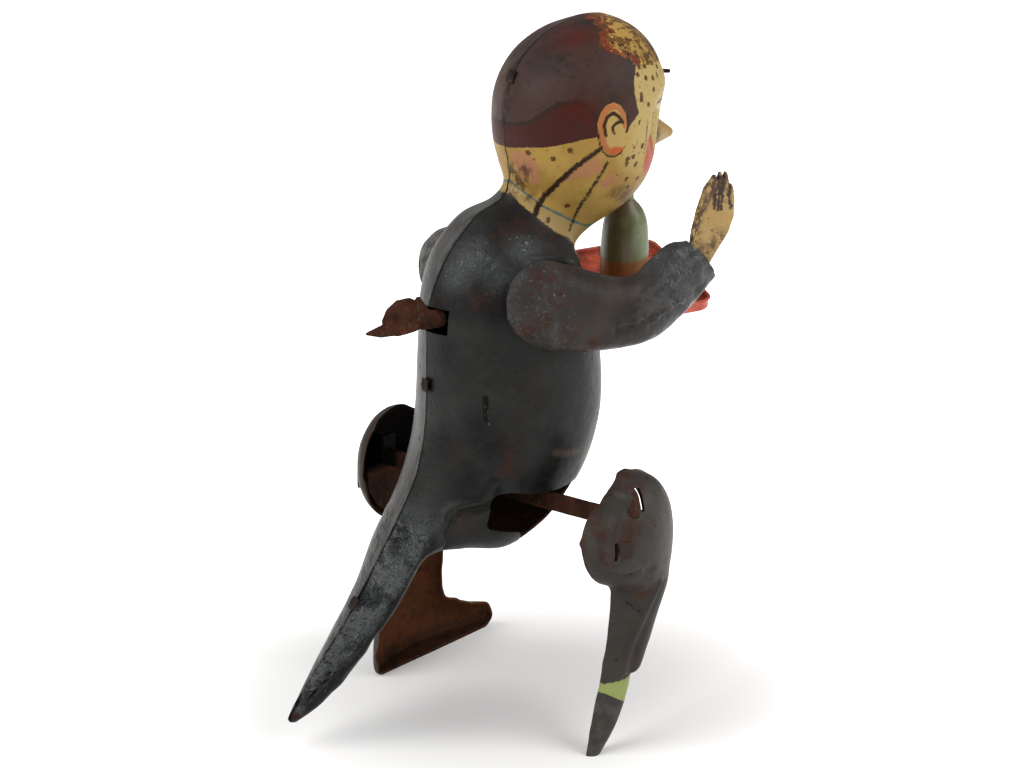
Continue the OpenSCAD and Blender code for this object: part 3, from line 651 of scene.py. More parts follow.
# Plain metal of the clockwork, as rolled, cut or drawn: fine lines, dull patches and a little rust.
# The ears of a plate that come out through the body are painted black and have lost their shine.
@dataclass(frozen=True)
class WorkedMetal(Finish):
    """Metal of the plates, wheels, arbors and rivets."""

    colour: str
    dull: str
    rust: float
    ears_mm: float = 0.0
    gloss: float = 0.36

    def surface(self, n: Nodes) -> dict[str, Any]:
        """Give what feeds each input of the surface.

        Args:
            n: The material's nodes.

        Returns:
            The value or the socket for each input, by name.
        """
        lines = n.patch(0.9, 0.35, 0.70, 0.6, (1.0, 1.0, 0.06))
        rust = n.patch(2.2, 0.66 - 0.2 * self.rust, 0.76 - 0.1 * self.rust, 0.95)
        layers = [(n.patch(4.0, 0.38, 0.68, 0.8), self.dull), (lines, self.dull), (rust, "#4a2a1a")]
        rough, metallic, found = [(lines, self.gloss + 0.12), (rust, 0.8)], [(rust, 0.0)], {}
        if self.ears_mm:
            side = n.add("ShaderNodeSeparateXYZ", {0: n.add("ShaderNodeTexCoord", output="Object")})
            ears = n.add("ShaderNodeMath", {0: side}, operation="ABSOLUTE")
            ears = n.add("ShaderNodeMath", {0: ears, 1: self.ears_mm * MM}, operation="GREATER_THAN")
            layers += [(ears, "#161513"), (n.on(ears, 1.4, 0.60, 0.66, 0.3), "#7c766b")]
            rough.append((ears, 0.85))
            metallic.append((ears, 0.0))
            found["Specular IOR Level"] = 0.08
        return {"Base Color": n.coats(self.colour, layers), "Roughness": n.levels(self.gloss, rough),
                "Metallic": n.levels(1.0, metallic), **found, **n.bumps([(lines, 0.01), (rust, 0.04)])}


# Matt white paper sweep: it takes the soft shadow near the feet and runs out to plain white.
@dataclass(frozen=True)
class PaperSweep(Finish):
    """White floor of the studio."""

    colour: str = "#f2f1f0"
    shadow_m: float = 0.015
    white_m: float = 0.16

    def surface(self, n: Nodes) -> dict[str, Any]:
        """Give what feeds each input of the surface.

        Args:
            n: The material's nodes.

        Returns:
            The value or the socket for each input, by name.
        """
        place = n.add("ShaderNodeTexCoord", output="Object")
        away = n.add("ShaderNodeVectorMath", {0: place}, "Value", operation="LENGTH")
        glow = n.add("ShaderNodeMapRange", {
            "Value": away, "From Min": self.shadow_m, "From Max": self.white_m,
            "To Min": 0.02, "To Max": 1.0},
            interpolation_type="SMOOTHSTEP")
        seen: Any = 0.0
        for kind in ("Is Camera Ray", "Is Glossy Ray", "Is Transmission Ray"):
            rays = n.add("ShaderNodeLightPath", output=kind)
            seen = n.add("ShaderNodeMath", {0: seen, 1: rays}, operation="MAXIMUM")
        return {"Base Color": linear(self.colour), "Roughness": 0.9, "Specular IOR Level": 0.1,
                "Emission Color": WHITE, "Emission Strength": n.both(glow, seen)}


COAT = LithographedTin("lithographed_tin_coat", Sheet.BODY, "#1b1b1a", "#282827", 0.36)
# The left half and the left sleeve are paler copies: partly paler paint, and partly a painted sheen of the
# light from the left, on the hair too
COAT_PALER_AND_LIT = LithographedTin("lithographed_tin_coat_paler_and_lit", Sheet.BODY, "#474644", "#5f5e5c", 0.38, "#54463f")
SLEEVE = LithographedTin("lithographed_tin_sleeve", Sheet.SLEEVE, "#292421", "#3e352d", 0.37)
SLEEVE_PALER_AND_LIT = LithographedTin("lithographed_tin_sleeve_paler_and_lit", Sheet.SLEEVE, "#7a7874", "#918e8a", 0.40)
TROUSERS = LithographedTin("lithographed_tin_trousers", Sheet.LEG, "#35312d", "#4a4540", 0.44)
BACK_OF_TIN = RustyTin("rusted_tin_plate_inside", "#3f291c", "#55301b", "#281911", 0.0)
STRIP = RustyTin("rusted_tin_strip", "#3a2419", "#502c1d", "#20130d", 0.15)
TAB_TIN = RustyTin("blackened_tin_tabs", "#332a27", "#463a35", "#1c1614", 0.1)
KEY_IRON = RustyTin("rusted_sheet_iron_key", "#43291f", "#5c3324", "#241610", 0.3)
TRAY_RED = WornEnamel("red_enamel_on_tin")
BOTTLE_GREEN = PaintedWood("green_paint_on_turned_wood")
FLESH = FleshEnamel("flesh_enamel_on_tin")
PLATE = WorkedMetal("bare_tin_plate_dull", "#8d857a", "#5c5348", 0.8)
EARED_PLATE = WorkedMetal("bare_tin_plate_black_ears", "#8d857a", "#5c5348", 0.8, 16.5)
STEEL = WorkedMetal("dull_mild_steel", "#8a867f", "#59544c", 0.6)
SPRING = WorkedMetal("blued_spring_steel", "#3c4556", "#272c35", 0.3)
BRASS = WorkedMetal("aged_brass", "#b08b48", "#6e5429", 0.1)
FLOOR = PaperSweep("white_paper_sweep")


# Mesh helpers

def mesh_object(name: str, points: Array, faces: Sequence[Sequence[int]], finishes: Sequence[Finish],
                slots: Sequence[int] | None = None) -> Object:
    """Make an object from points and faces.

    Args:
        name: The piece's name.
        points: Row places in metres.
        faces: Point numbers of each face.
        finishes: Materials in slot order.
        slots: Which material each face has.

    Returns:
        The new object, with its faces turned outwards.
    """
    mesh = bpy.data.meshes.new(name)
    mesh.from_pydata([tuple(p) for p in points], [], [tuple(f) for f in faces])
    for finish in finishes:
        mesh.materials.append(finish.material())
    if slots is not None:
        mesh.polygons.foreach_set("material_index", np.asarray(slots, np.int32))
    shell = bmesh.new()
    shell.from_mesh(mesh)
    bmesh.ops.recalc_face_normals(shell, faces=shell.faces)
    shell.to_mesh(mesh)
    shell.free()
    piece = bpy.data.objects.new(name, mesh)
    bpy.context.scene.collection.objects.link(piece)
    smooth(piece)
    return piece


def smooth(piece: Object, sharp: float = 38.0) -> None:
    """Shade a piece smoothly but for edges from so many degrees."""
    piece.data.polygons.foreach_set("use_smooth", np.ones(len(piece.data.polygons), bool))
    piece.data.set_sharp_from_angle(angle=math.radians(sharp))


def settle(piece: Object) -> None:
    """Turn a piece's modifiers into plain mesh.

    Args:
        piece: The object, whose mesh is replaced.
    """
    bpy.context.view_layer.update()
    made = bpy.data.meshes.new_from_object(piece.evaluated_get(bpy.context.evaluated_depsgraph_get()))
    piece.modifiers.clear()
    old, piece.data = piece.data, made
    bpy.data.meshes.remove(old)


def places(piece: Object, kind: str = "co") -> Array:
    """Give a piece's points in row metres, or another value of three numbers for each point.

    Args:
        piece: The object.
        kind: Blender's name of what is read.

    Returns:
        One row for each point.
    """
    flat = np.empty(len(piece.data.vertices) * 3)
    piece.data.vertices.foreach_get(kind, flat)
    return flat.reshape(-1, 3)


def carry(piece: Object, values: dict[str, Array]) -> None:
    """Store values that the finishes read, one for each point.

    Args:
        piece: The object.
        values: One value for each point, by name.
    """
    for name, value in values.items():
        layer = piece.data.attributes.new(name, "FLOAT", "POINT")
        layer.data.foreach_set("value", np.ascontiguousarray(value, dtype=np.float32))


def enlist(piece: Object, body: str, node: str) -> None:
    """Put a piece on its body in place of a solid.

    Args:
        piece: The finished piece.
        body: The body that it moves with.
        node: The solid that it stands for.
    """
    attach(piece, body)
    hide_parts(node)
    LOG.info("%s: %d points on %s", piece.name, len(piece.data.vertices), body)


def prism(opening: Opening, stance: Stance, slots: Sequence[Finish]) -> Object:
    """Make a cutter that runs along the figure's width.

    Args:
        opening: Its corners along Y and Z in mm, and where it starts and ends along X.
        stance: How the cut piece is turned.
        slots: Materials of the cut piece, of which the walls get the second.

    Returns:
        The cutter.
    """
    outline, *reach = opening
    count = len(outline)
    points = np.array([(x, y, z) for x in reach for y, z in outline])
    faces = [list(range(count)), list(range(count, 2 * count))]
    faces += [(i, (i + 1) % count, count + (i + 1) % count, count + i) for i in range(count)]
    return mesh_object("cutter", stance.to_row(points), faces, slots, [1] * len(faces))


def box_outline(low_y: float, high_y: float, low_z: float, high_z: float) -> Chain:
    """Give the corners of an upright rectangle."""
    return [(low_y, low_z), (high_y, low_z), (high_y, high_z), (low_y, high_z)]


def rivet_hole() -> Chain:
    """Give the outline of the hole that an arm's rivet goes through."""
    return [(SHOULDER[0] + RIVET_HOLE * math.cos(a), SHOULDER[1] + RIVET_HOLE * math.sin(a))
            for a in np.arange(16) * math.pi / 8]


def eased(outline: Chain) -> Chain:
    """Round the corners of a closed outline, twice, each by a quarter of its sides.

    Args:
        outline: Corners of the outline, in order.

    Returns:
        The outline with its corners rounded.
    """
    spot = np.array(outline, dtype=float)
    for _ in range(2):
        after = np.roll(spot, -1, axis=0)
        spot = np.stack((0.75 * spot + 0.25 * after, 0.25 * spot + 0.75 * after), axis=1).reshape(-1, 2)
    return [(float(y), float(z)) for y, z in spot]


def cut(piece: Object, cutters: Sequence[Object]) -> None:
    """Cut openings into a piece, and drop the cutters.

    Args:
        piece: The object, whose mesh is replaced.
        cutters: What is taken out of it.
    """
    for cutter in cutters:
        cutting = piece.modifiers.new("opening", "BOOLEAN")
        cutting.operation, cutting.solver, cutting.object = "DIFFERENCE", "EXACT", cutter
    settle(piece)
    for cutter in cutters:
        bpy.data.objects.remove(cutter)


def ring_faces(rows: int, count: int) -> Faces:
    """Join closed rings of so many points each, and close the first and the last.

    Args:
        rows: How many rings there are.
        count: How many points a ring has.

    Returns:
        Point numbers of each face.
    """
    faces = []
    for low in range(0, (rows - 1) * count, count):
        high = low + count
        for j in range(count):
            k = (j + 1) % count
            faces.append((low + j, low + k, high + k, high + j))
    return faces + [tuple(range(count)), tuple(range((rows - 1) * count, rows * count))]


def lathe(outline: Chain, turns: int, fine: int) -> tuple[Array, Faces]:
    """Turn an outline about Z.

    Args:
        outline: Radius and height of each corner, from one end of the axis to the other.
        turns: Points in one round.
        fine: Steps between two corners.

    Returns:
        The points in mm and the faces.
    """
    rows = np.array([tuple(a + (b - a) * k / fine for a, b in zip(p, q))
                     for p, q in zip(outline[:-1], outline[1:]) for k in range(fine)] + [outline[-1]])
    angle = np.arange(turns) * 2.0 * np.pi / turns
    points = np.stack((np.outer(rows[:, 0], np.cos(angle)), np.outer(rows[:, 0], np.sin(angle)),
                       np.repeat(rows[:, 1:2], turns, axis=1)), -1).reshape(-1, 3)
    return points, ring_faces(len(rows), turns)


# Pressed halves

@dataclass(frozen=True)
class Loft:
    """Half rings swept along a smooth curve: back y and z, front y and z, half width, in mm."""

    stations: tuple[tuple[float, float, float, float, float], ...]
    side: int
    rim_x: float = 0.0
    step_mm: float = 0.6
    around: int = 96
    crowd: float = 0.45  # how much closer the points stand by the rim

    def grid(self) -> Array:
        """Give the surface as rows of half rings.

        Returns:
            Places in mm, by row, by point along the row and by axis.
        """
        table = np.array(self.stations, float)
        last = len(table) - 1
        rows = []
        for i in range(last):
            a, b, c, d = table[max(i - 1, 0)], table[i], table[i + 1], table[min(i + 2, last)]
            gap = max(np.linalg.norm(c[:2] - b[:2]), np.linalg.norm(c[2:4] - b[2:4]))
            steps = max(4, math.ceil(gap / self.step_mm))
            for t in np.arange(steps) / steps:
                rows.append(0.5 * (2 * b + (c - a) * t + (2 * a - 5 * b + 4 * c - d) * t ** 2
                                   + (3 * b - a - 3 * c + d) * t ** 3))
        rings = np.array(rows + [table[last]])
        share = np.linspace(0.0, 1.0, self.around + 1)
        angle = np.pi * (share - self.crowd * np.sin(2.0 * np.pi * share) / (2.0 * np.pi))
        middle, half = (rings[:, 0:2] + rings[:, 2:4]) / 2, (rings[:, 0:2] - rings[:, 2:4]) / 2
        return np.stack((self.rim_x + self.side * rings[:, 4:5] * np.sin(angle),
                         middle[:, 0:1] + half[:, 0:1] * np.cos(angle),
                         middle[:, 1:2] + half[:, 1:2] * np.cos(angle)), -1)

    def facing(self, grid: Array) -> Array:
        """Give the outward direction at each point of the surface.

        Args:
            grid: The surface, as grid gives it.

        Returns:
            Directions of length 1, in the same order.
        """
        out = self.side * np.cross(np.gradient(grid, axis=0), np.gradient(grid, axis=1))
        out[:, (0, -1), 0] = 0.0
        return out / np.maximum(np.linalg.norm(out, axis=2, keepdims=True), 1e-9)


@dataclass
class Pressing:
    """One half of a hollow form, pressed from thin tin."""

    name: str
    body: str
    loft: Loft
    finish: Finish
    stance: Stance = FIGURE
    open_end: bool = False
    inset: int = 3  # how many rows at a closed end are solid tin

    def relief(self, p: Array) -> Array:
        """Give how far the surface stands out at each drawn place in mm."""
        raise NotImplementedError

    def paint(self, p: Array) -> dict[str, Array]:
        """Give the values that the finish reads at each drawn place in mm."""
        raise NotImplementedError

    def openings(self) -> list[Opening]:
        """Give the outline and the X reach of each opening."""
        raise NotImplementedError

    def reach(self, low: float, high: float) -> list[float]:
        """Give how far an opening goes along X on the loft's side, lowest first."""
        return sorted((low * self.loft.side, high * self.loft.side))

    def build(self) -> Object:
        """Make the shell, cut it, and store what its finish reads.

        Returns:
            The new piece.
        """
        grid = self.loft.grid()
        facing = self.loft.facing(grid)
        rows, wide = grid.shape[:2]
        lift = self.relief(grid.reshape(-1, 3)).reshape(rows, wide, 1)
        outer = grid + facing * lift
        first, last = self.inset, rows - 1 if self.open_end else rows - 1 - self.inset
        inner = (outer - facing * TIN)[first:last + 1]
        points = np.vstack((outer.reshape(-1, 3), inner.reshape(-1, 3)))
        out = np.arange(rows * wide).reshape(rows, wide)
        back = np.full((rows, wide), -1)
        back[first:last + 1] = rows * wide + np.arange(inner.shape[0] * wide).reshape(-1, wide)
        faces, slots = [], []
        for sheet, low, high, slot in ((out, 0, rows - 1, 0), (back, first, last, 1)):
            for i in range(low, high):
                faces.extend(zip(sheet[i, :-1], sheet[i, 1:], sheet[i + 1, 1:], sheet[i + 1, :-1]))
                slots.extend([slot] * (wide - 1))
        rim = [*out[first::-1, 0], *out[:first + 1, -1], back[first, -1], back[first, 0]]
        ends = [out[0], back[first], rim]
        if self.open_end:
            ends += zip(out[-1, :-1], out[-1, 1:], back[-1, 1:], back[-1, :-1])
        else:
            rim = [*out[last:, 0], *out[:last - 1:-1, -1], back[last, -1], back[last, 0]]
            ends += [out[-1], back[last], rim]
        for j in (0, -1):
            ends += zip(out[first:last, j], out[first + 1:last + 1, j], back[first + 1:last + 1, j],
                        back[first:last, j])
        faces += [tuple(int(v) for v in f) for f in ends]
        slots += [0] + [1] * (len(ends) - 1)
        finishes = (self.finish, BACK_OF_TIN)
        piece = mesh_object(f"{self.name}_dressed", self.stance.to_row(points), faces, finishes, slots)
        cutters = [prism(opening, self.stance, finishes) for opening in self.openings()]
        if cutters:
            cut(piece, cutters)
            smooth(piece)
        carry(piece, self.paint(self.stance.from_row(places(piece))))
        enlist(piece, self.body, self.name)
        return piece


BODY_STATIONS = (
    (60.25, 7.35, 59.85, 7.1, 0.3), (60.4, 7.8, 59, 6.9, 0.8), (60.2, 8.5, 57.9, 7.3, 1.2),
    (57, 13.2, 52.6, 10.6, 3.4), (50, 23.6, 43.4, 19.4, 6), (41.2, 37.2, 33.6, 32.4, 8.4),
    (34.6, 49.6, 25.4, 45.2, 10.6), (30.2, 58, 15.4, 45.6, 13.4), (27.4, 63.6, 4, 44.3, 16.6),
    (25.6, 68.3, -6.6, 49.2, 19), (24.2, 73.4, -13.6, 56.4, 20.4), (23.4, 79.4, -19.4, 65.6, 20.8),
    (23, 86, -22.8, 76, 20.9), (22.7, 95, -23.2, 87, 20.5), (21.9, 107.4, -21.8, 99.4, 19.8),
    (18.3, 118, -19.2, 109, 17.6), (10.6, 126.8, -17.6, 114.6, 13.2), (3.2, 130.6, -17, 118, 9.8),
    (0.2, 134.4, -21, 121.8, 10.2), (0.8, 139, -29, 126.6, 15), (1.8, 143.6, -35, 133.2, 18.2),
    (2.1, 149, -37.8, 142, 20.2), (1.5, 155, -39, 150.6, 20.7), (-0.8, 160.6, -39.2, 158.4, 19.8),
    (-5, 165.8, -36.8, 165, 16.8), (-11.2, 170, -32.2, 170, 11.4), (-18.8, 172.6, -26, 172.6, 4),
    (-21.9, 173, -22.9, 173, 0.5))
LEFT_SHOULDER_GAIN = {14: 0.5, 15: 2.6, 16: 4.6, 17: 1.8}  # mm of half width that the left shoulder has more


@dataclass
class BodyHalf(Pressing):
    """Head, coat and tail of one side, in one pressing."""

    # Print of the side of the head and the collar, as y and z in mm
    HAIR = (
        (6, 143), (1.5, 143.2), (-0.1, 143.8), (-2.7, 144.2), (-5.2, 144.9), (-7.9, 145.8), (-10.5, 146.4),
        (-12.3, 146.8), (-16, 147.2), (-20.4, 148.4), (-21.8, 149.7), (-23.8, 151.7), (-23.2, 153.3),
        (-22.4, 156.8), (-22.5, 159.4), (-23.9, 162.6), (-27, 165.4), (-33.5, 168), (-33.5, 180), (6, 180))
    RED_HAIR = (
        (6, 149.2), (2, 148.8), (-0.4, 149.8), (-2.5, 152.4), (-5.1, 154.6), (-8.4, 155), (-10.7, 154),
        (-12.6, 151.3), (-14, 146), (-8, 142), (6, 140))
    EAR = (
        (-20.1, 149.6), (-19.7, 151.9), (-18.3, 153.9), (-16.6, 154.7), (-14.8, 154.1), (-13.4, 152.3),
        (-12.7, 150), (-13.1, 147.2), (-13.8, 144.8), (-14.9, 143.3), (-16.1, 142.2), (-17.6, 142.1),
        (-19.4, 142.9), (-20, 144.3), (-19.5, 146), (-20.1, 148))
    EAR_LINES = (
        (0.42, ((-14.7, 147.1), (-14.1, 149.5), (-14.8, 151.5), (-16.3, 152.4), (-17.8, 151.4),
        (-18.9, 149.9))), (0.3, ((-14.4, 150.6), (-15.4, 152.1), (-16.8, 152.3))), (0.36, ((-16.7, 147.5),
        (-16.1, 148.9), (-17.1, 150), (-18.6, 150.2))), (0.26, ((-12.8, 148.4), (-13.4, 145.5),
        (-14.4, 143.4), (-15.8, 142.1), (-17.5, 141.9), (-19.3, 142.7), (-20, 144.2))), (0.4,
        ((-20.4, 151.2), (-20.6, 149), (-20.2, 147.6))))
    LOBE = ((-15.6, 143.9), (-17, 144.3), (-19, 144.2), (-19.8, 143.9), (-18.9, 142.5), (-16.8, 142.4))
    COLLAR_TOP = ((-17, -14.5, -12.5, -7.6, -3.9, -0.8, 0.5), (123.4, 124.5, 125.2, 127.8, 130, 133.1, 135))
    COLLAR_FOOT = (
        (-17, -14.4, -11.1, -7.5, -4.5, -2.3, 0.2, 0.9), (116.2, 118.8, 121.4, 123, 125.4, 127.4, 130, 132))
    STREAKS = (
        ((-13.8, 144), (-10.8, 141.4), (-8.7, 139.4), (-6.3, 135.6), (-5.4, 132.8), (-3.9, 130),
        (-2, 126.9)), ((-16, 140.4), (-14.9, 137.4), (-13.7, 134), (-13, 130.5), (-12.7, 126.5),
        (-11.9, 123)))
    PINK_BACK = (
        (-3.7, 141.7), (-7.7, 143), (-10, 141.3), (-10.7, 139.7), (-9.6, 135.9), (-7.6, 134.7),
        (-5.6, 134.9), (-4.6, 136.3), (-3.7, 139.3))
    PINK_SIDE = (
        ((-10.6, 141.2), (-14.1, 142.1), (-15, 139.8), (-14.6, 137.3), (-12.7, 137.4), (-9.5, 137),
        (-7.9, 135.9), (-7, 136.9), (-8.5, 139.2)), ((-15.5, 136.5), (-17.5, 137.7), (-19.9, 136.9),
        (-21, 135.3), (-18.6, 134), (-16, 133.9), (-15.1, 135.3)))
    WORN_EDGE = ((163.6, 164.9, 165.6, 167.1, 169.1, 171.9, 173), (23.8, 20.8, 18.5, 16.5, 17.8, 19.5, 20))
    # Marks of the head, as places in mm
    FACE_SPECKS = (
        (-18.9, -21.5, 141), (-17.6, -24.5, 139.4), (-18.6, -23.3, 141.3), (-18.4, -21.5, 139.8),
        (-18.3, -25.9, 143.7), (-15.1, -26.6, 135.5), (-15.1, -23.9, 133.6), (-16.7, -22.6, 135.9),
        (-19.7, -24.5, 155.9), (-19.7, -24.5, 154.8), (-18.5, -26.3, 159.6), (-17.3, -28.9, 159.3),
        (-17.7, -29, 156.6), (-18.1, -24.6, 162.2), (-17.6, -26.5, 162.1), (-15.7, -29.6, 162.6),
        (-14.7, -31.6, 161.5), (-18.8, -27.1, 153.3), (-18.9, -23.8, 160.5), (-10.9, -10, 129.5),
        (-8.7, -0.6, 142.6), (-16.5, -7.4, 143.7), (-13.6, -4.6, 141.6), (-9.5, -5.6, 126.3))
    GRIME = (
        (-2.3, 0.2, 137.4), (-3.3, -0.3, 135.6), (-6.4, -0.8, 138), (-5, -1, 134.9), (-3.9, -0.5, 133.8),
        (-5.7, -1.2, 132.1))
    CHEEK_LINE = ((-18.6, -26.9, 149.5), (-18.3, -26.9, 146), (-17.4, -27.3, 142.5))
    JAW = ((-13.6, -24.5, 131), (-11, -26, 129), (-8, -25.5, 127.4), (-15.2, -21, 132.5))
    BUMPS = ((-2.7, 0.9, 155.2), (-2.4, 1.5, 152.8))
    # Print of the front, as widths or places in mm
    SHIRT = ((84, 92, 108, 122), (0, 3.4, 6.2, 4.6))
    EYE_AT, EYE_SIZE = (7.2, 152.0), (3.1, 1.9)  # mm, along X and Z
    PUPIL_AT, PUPIL_R = (7.0, 151.9), 1.3  # mm
    SHIRT_ENDS = (84.0, 122.0)  # mm, lowest and highest Z of the shirt front
    BOW_Z, BOW_WIDE = 115.4, 6.4  # mm, height and half width of the bow tie
    STUD_R, STUD_FOOT, STUD_STEP, STUD_ENDS = 0.55, 90.0, 7.0, (92.0, 112.0)  # mm
    EAR_FOOT = 139.0  # mm, from where the ear may print
    WORN_FOOT = 162.5  # mm, from where the crown is worn
    KEY_STEM = (-4.0, 20.5, 103.6)
    RED_SPOTS = ((9.0, (-8.0, -13.0, 169.0)), (6.0, (-18.2, -9.8, 153.4)))  # radius and place in mm
    SOOT_SPOTS = ((-5.0, -17.0, 171.2), (-12.0, -7.0, 163.0))
    BROW = ((3.6, 156.8), (7, 158.4), (11.4, 157))
    MOUTH = ((0, 134.9), (2, 134.5), (4.4, 135.3))
    SOCKET = ((-13.5, -34, 147.6), (8, 8, 9))  # centre and half sizes
    ROUGE = ((-14.6, -31.5, 143), (4.6, 4.6, 8))  # centre and half sizes
    # Creases, seam and marks of the coat
    HEM = (
        (12.7, 65), (15.7, 60.6), (17.5, 60.3), (19.3, 59.8), (21.1, 59.1), (22.8, 57.3), (23.9, 54.3),
        (23.8, 50.2))
    SHOULDER_FOLD = (
        (-16.8, 6.1, 114.3), (-16.1, 4.4, 116.1), (-15.8, 1.3, 117.4), (-15.4, -2.4, 117.4),
        (-14.2, -6.8, 116.7), (-12.7, -10.4, 115.5))
    TAIL_BAND = (
        (-11.8, 27.1, 51.6), (-11.4, 28.2, 49.9), (-10.3, 29.9, 46.2), (-9.6, 33, 41), (-8.2, 39, 32),
        (-6.2, 46.2, 22.8), (-3.7, 52.8, 17.1), (-1.6, 57.6, 11.6))
    ROOT_FOLD = (
        (-4.8, 31.3, 54.6), (-7.5, 30.1, 54.7), (-9.8, 28.6, 54.5), (-12, 25.9, 54.8), (-13.1, 23.9, 56.3))
    SEAM_X = (
        (8, 20, 30, 37, 45.7, 53.6, 61, 66, 72, 81, 90, 105, 113.4, 118.3, 123.4, 129.3, 132.2, 134, 137,
        141, 145, 151, 155, 161, 164, 170, 173), (0, 0, -0.6, -0.6, -1.6, -2.3, -2.2, -2.2, -1.4, -1, -0.8,
        -0.8, -1.8, -2.8, -2.8, -1.8, -1.4, -0.4, -1.2, -1.7, -1.4, -1.5, -2, -1.4, -1, -0.5, 0))
    MIDDLE_Y = ((0, 45, 66, 120, 135, 173), (40, 22, 8, -2, -12, -20))
    # Places in mm of darker patches of the coat, low on the torso and under the arm
    DARK_PATCHES = (
        (-15.2, 16.2, 79.4), (-17.8, 12.8, 74), (-8.7, 21.7, 75.3), (-15.4, 18.2, 66.4), (-20.3, 1.4, 64.4),
        (-2.8, 22.7, 87.5), (-20.2, 7.6, 66.4), (-19.8, -3.5, 67), (-15, 10.5, 108), (-6.1, 21.5, 97))
    SCRATCH = ((-15.9, 14.4, 86), (-16.4, 14.4, 83), (-16.6, 14.2, 80.1))
    TAN_STRIP = ((-20.6, -1.7, 72.1), (-19.7, -5.8, 70.9), (-17.8, -10.2, 70.5))
    # Places on the shoulder that get painted glints and a lighter painted sheen
    SPECKLED = (
        (-7.1, 17.9, 114.8), (-8.8, 14.8, 118.4), (-9.9, 12.7, 119.6), (-12.6, 11.5, 117.6),
        (-15.1, 10.2, 114.4), (-13.5, 4.1, 120.6))
    RUST = (
        (-13.6, 14.7, 109.8), (-17.6, 7.6, 109.8), (-9.8, 7.4, 123.8), (-9.7, 2, 125.6), (-11.4, -3.7, 123),
        (-19.4, 10.4, 69.8), (-19.5, 9.4, 72), (-17, -10, 64), (-14, 19, 56))
    # The hip's opening: its rear end, and its front end on each side
    # Lowest and highest Y and Z of the plate's slot and the key's notch, and the notch's reach in X, in mm
    PLATE_SLOT, KEY_NOTCH, NOTCH_REACH = (14.4, 15.2, 81.0, 87.0), (14.0, 30.0, 100.6, 106.7), (-8.2, 1.0)
    HIP_REAR = ((2.3, 61.9), (11.4, 63.9), (14.2, 61.6), (14.6, 58), (15.2, 54.4), (11.7, 53.1), (7, 51.9))
    HIP_FRONT = {RIGHT: ((4.4, 51.2), (2, 43), (-28, 43), (-28, 61.8), (-6, 61.8)),
                 LEFT: ((-10, 53.4), (-14.4, 56), (-14.4, 61.8), (-6, 61.8))}

    def beyond_seam(self, p: Array) -> Array:
        """Give how far each place lies past the visible seam towards the left, on the back only.

        Args:
            p: Drawn places in mm, one row each.

        Returns:
            One distance in mm for each place.
        """
        x, y, z = p.T
        back = y > np.interp(z, *self.MIDDLE_Y)
        return x - np.where(back, np.interp(z, *self.SEAM_X), 0.0)

    def relief(self, p: Array) -> Array:
        """Give dents, the hem, the folds, the ear, the eye sockets and the lip along the seam.

        Args:
            p: Drawn places in mm, one row each.

        Returns:
            One height in mm for each place.
        """
        x, y, z = p.T
        flat, mirrored = p[:, 1:3], np.column_stack((-np.abs(x), y, z))
        past = self.beyond_seam(p)
        head = ramp(z, 120.0, 128.0)
        tail = ramp(y, 23.0, 31.0) * ramp(-z, -60.0, -50.0)
        right = 1.0 if self.loft.side == RIGHT else 0.2
        if self.loft.side == RIGHT:
            tail = tail * ramp(-past, 0.0, 0.8)
        lift = (0.20 - 0.13 * head) * grit(p, 13.0, 1) + (0.07 - 0.04 * head) * grit(p, 4.5, 2)
        lift += right * tail * (0.45 * grit(p, (5.0, 6.5, 6.5), 3) + 0.15 * grit(p, (2.2, 3.0, 3.0), 4))
        hem, fold, band, root = map(np.array, (self.HEM, self.SHOULDER_FOLD, self.TAIL_BAND, self.ROOT_FOLD))
        for height, place, line, width in (
                (0.70 * right, flat, hem + (0.8, 0.8), 1.1), (-0.75 * right, flat, hem - (0.4, 0.4), 0.8),
                (0.30, mirrored, fold + (0.0, 0.0, 1.2), 1.3), (-0.45, mirrored, fold, 0.8),
                (0.70 * right, mirrored, band + (1.0, 1.0, 0.5), 1.1), (-0.80 * right, mirrored, band, 0.8),
                (0.75 * right, mirrored, root, 1.2), (-0.40 * right, mirrored, root + (0.0, 0.5, -2.2), 1.0)):
            lift += height * ridge(place, line, width)
        above = ramp(z, self.EAR_FOOT, self.EAR_FOOT + 2.0)
        lift += 0.35 * ramp(area_depth(flat, self.EAR), -0.2, 0.9) * above
        lift += 0.35 * np.exp(-((z - 158.0) / 2.2) ** 2) * ramp(-y, 28.0, 36.0)
        socket = np.linalg.norm((mirrored - self.SOCKET[0]) / self.SOCKET[1], axis=1)
        lift -= 3.0 * ramp(1.0 - socket, 0.0, 0.85)
        if self.loft.side == RIGHT:
            lift += 0.6 * spots(p, self.BUMPS, 1.8)
            lift += 0.35 * ramp(-past, -0.1, 0.3) * np.exp(np.minimum(past, 0.0) / 1.6)
        return lift

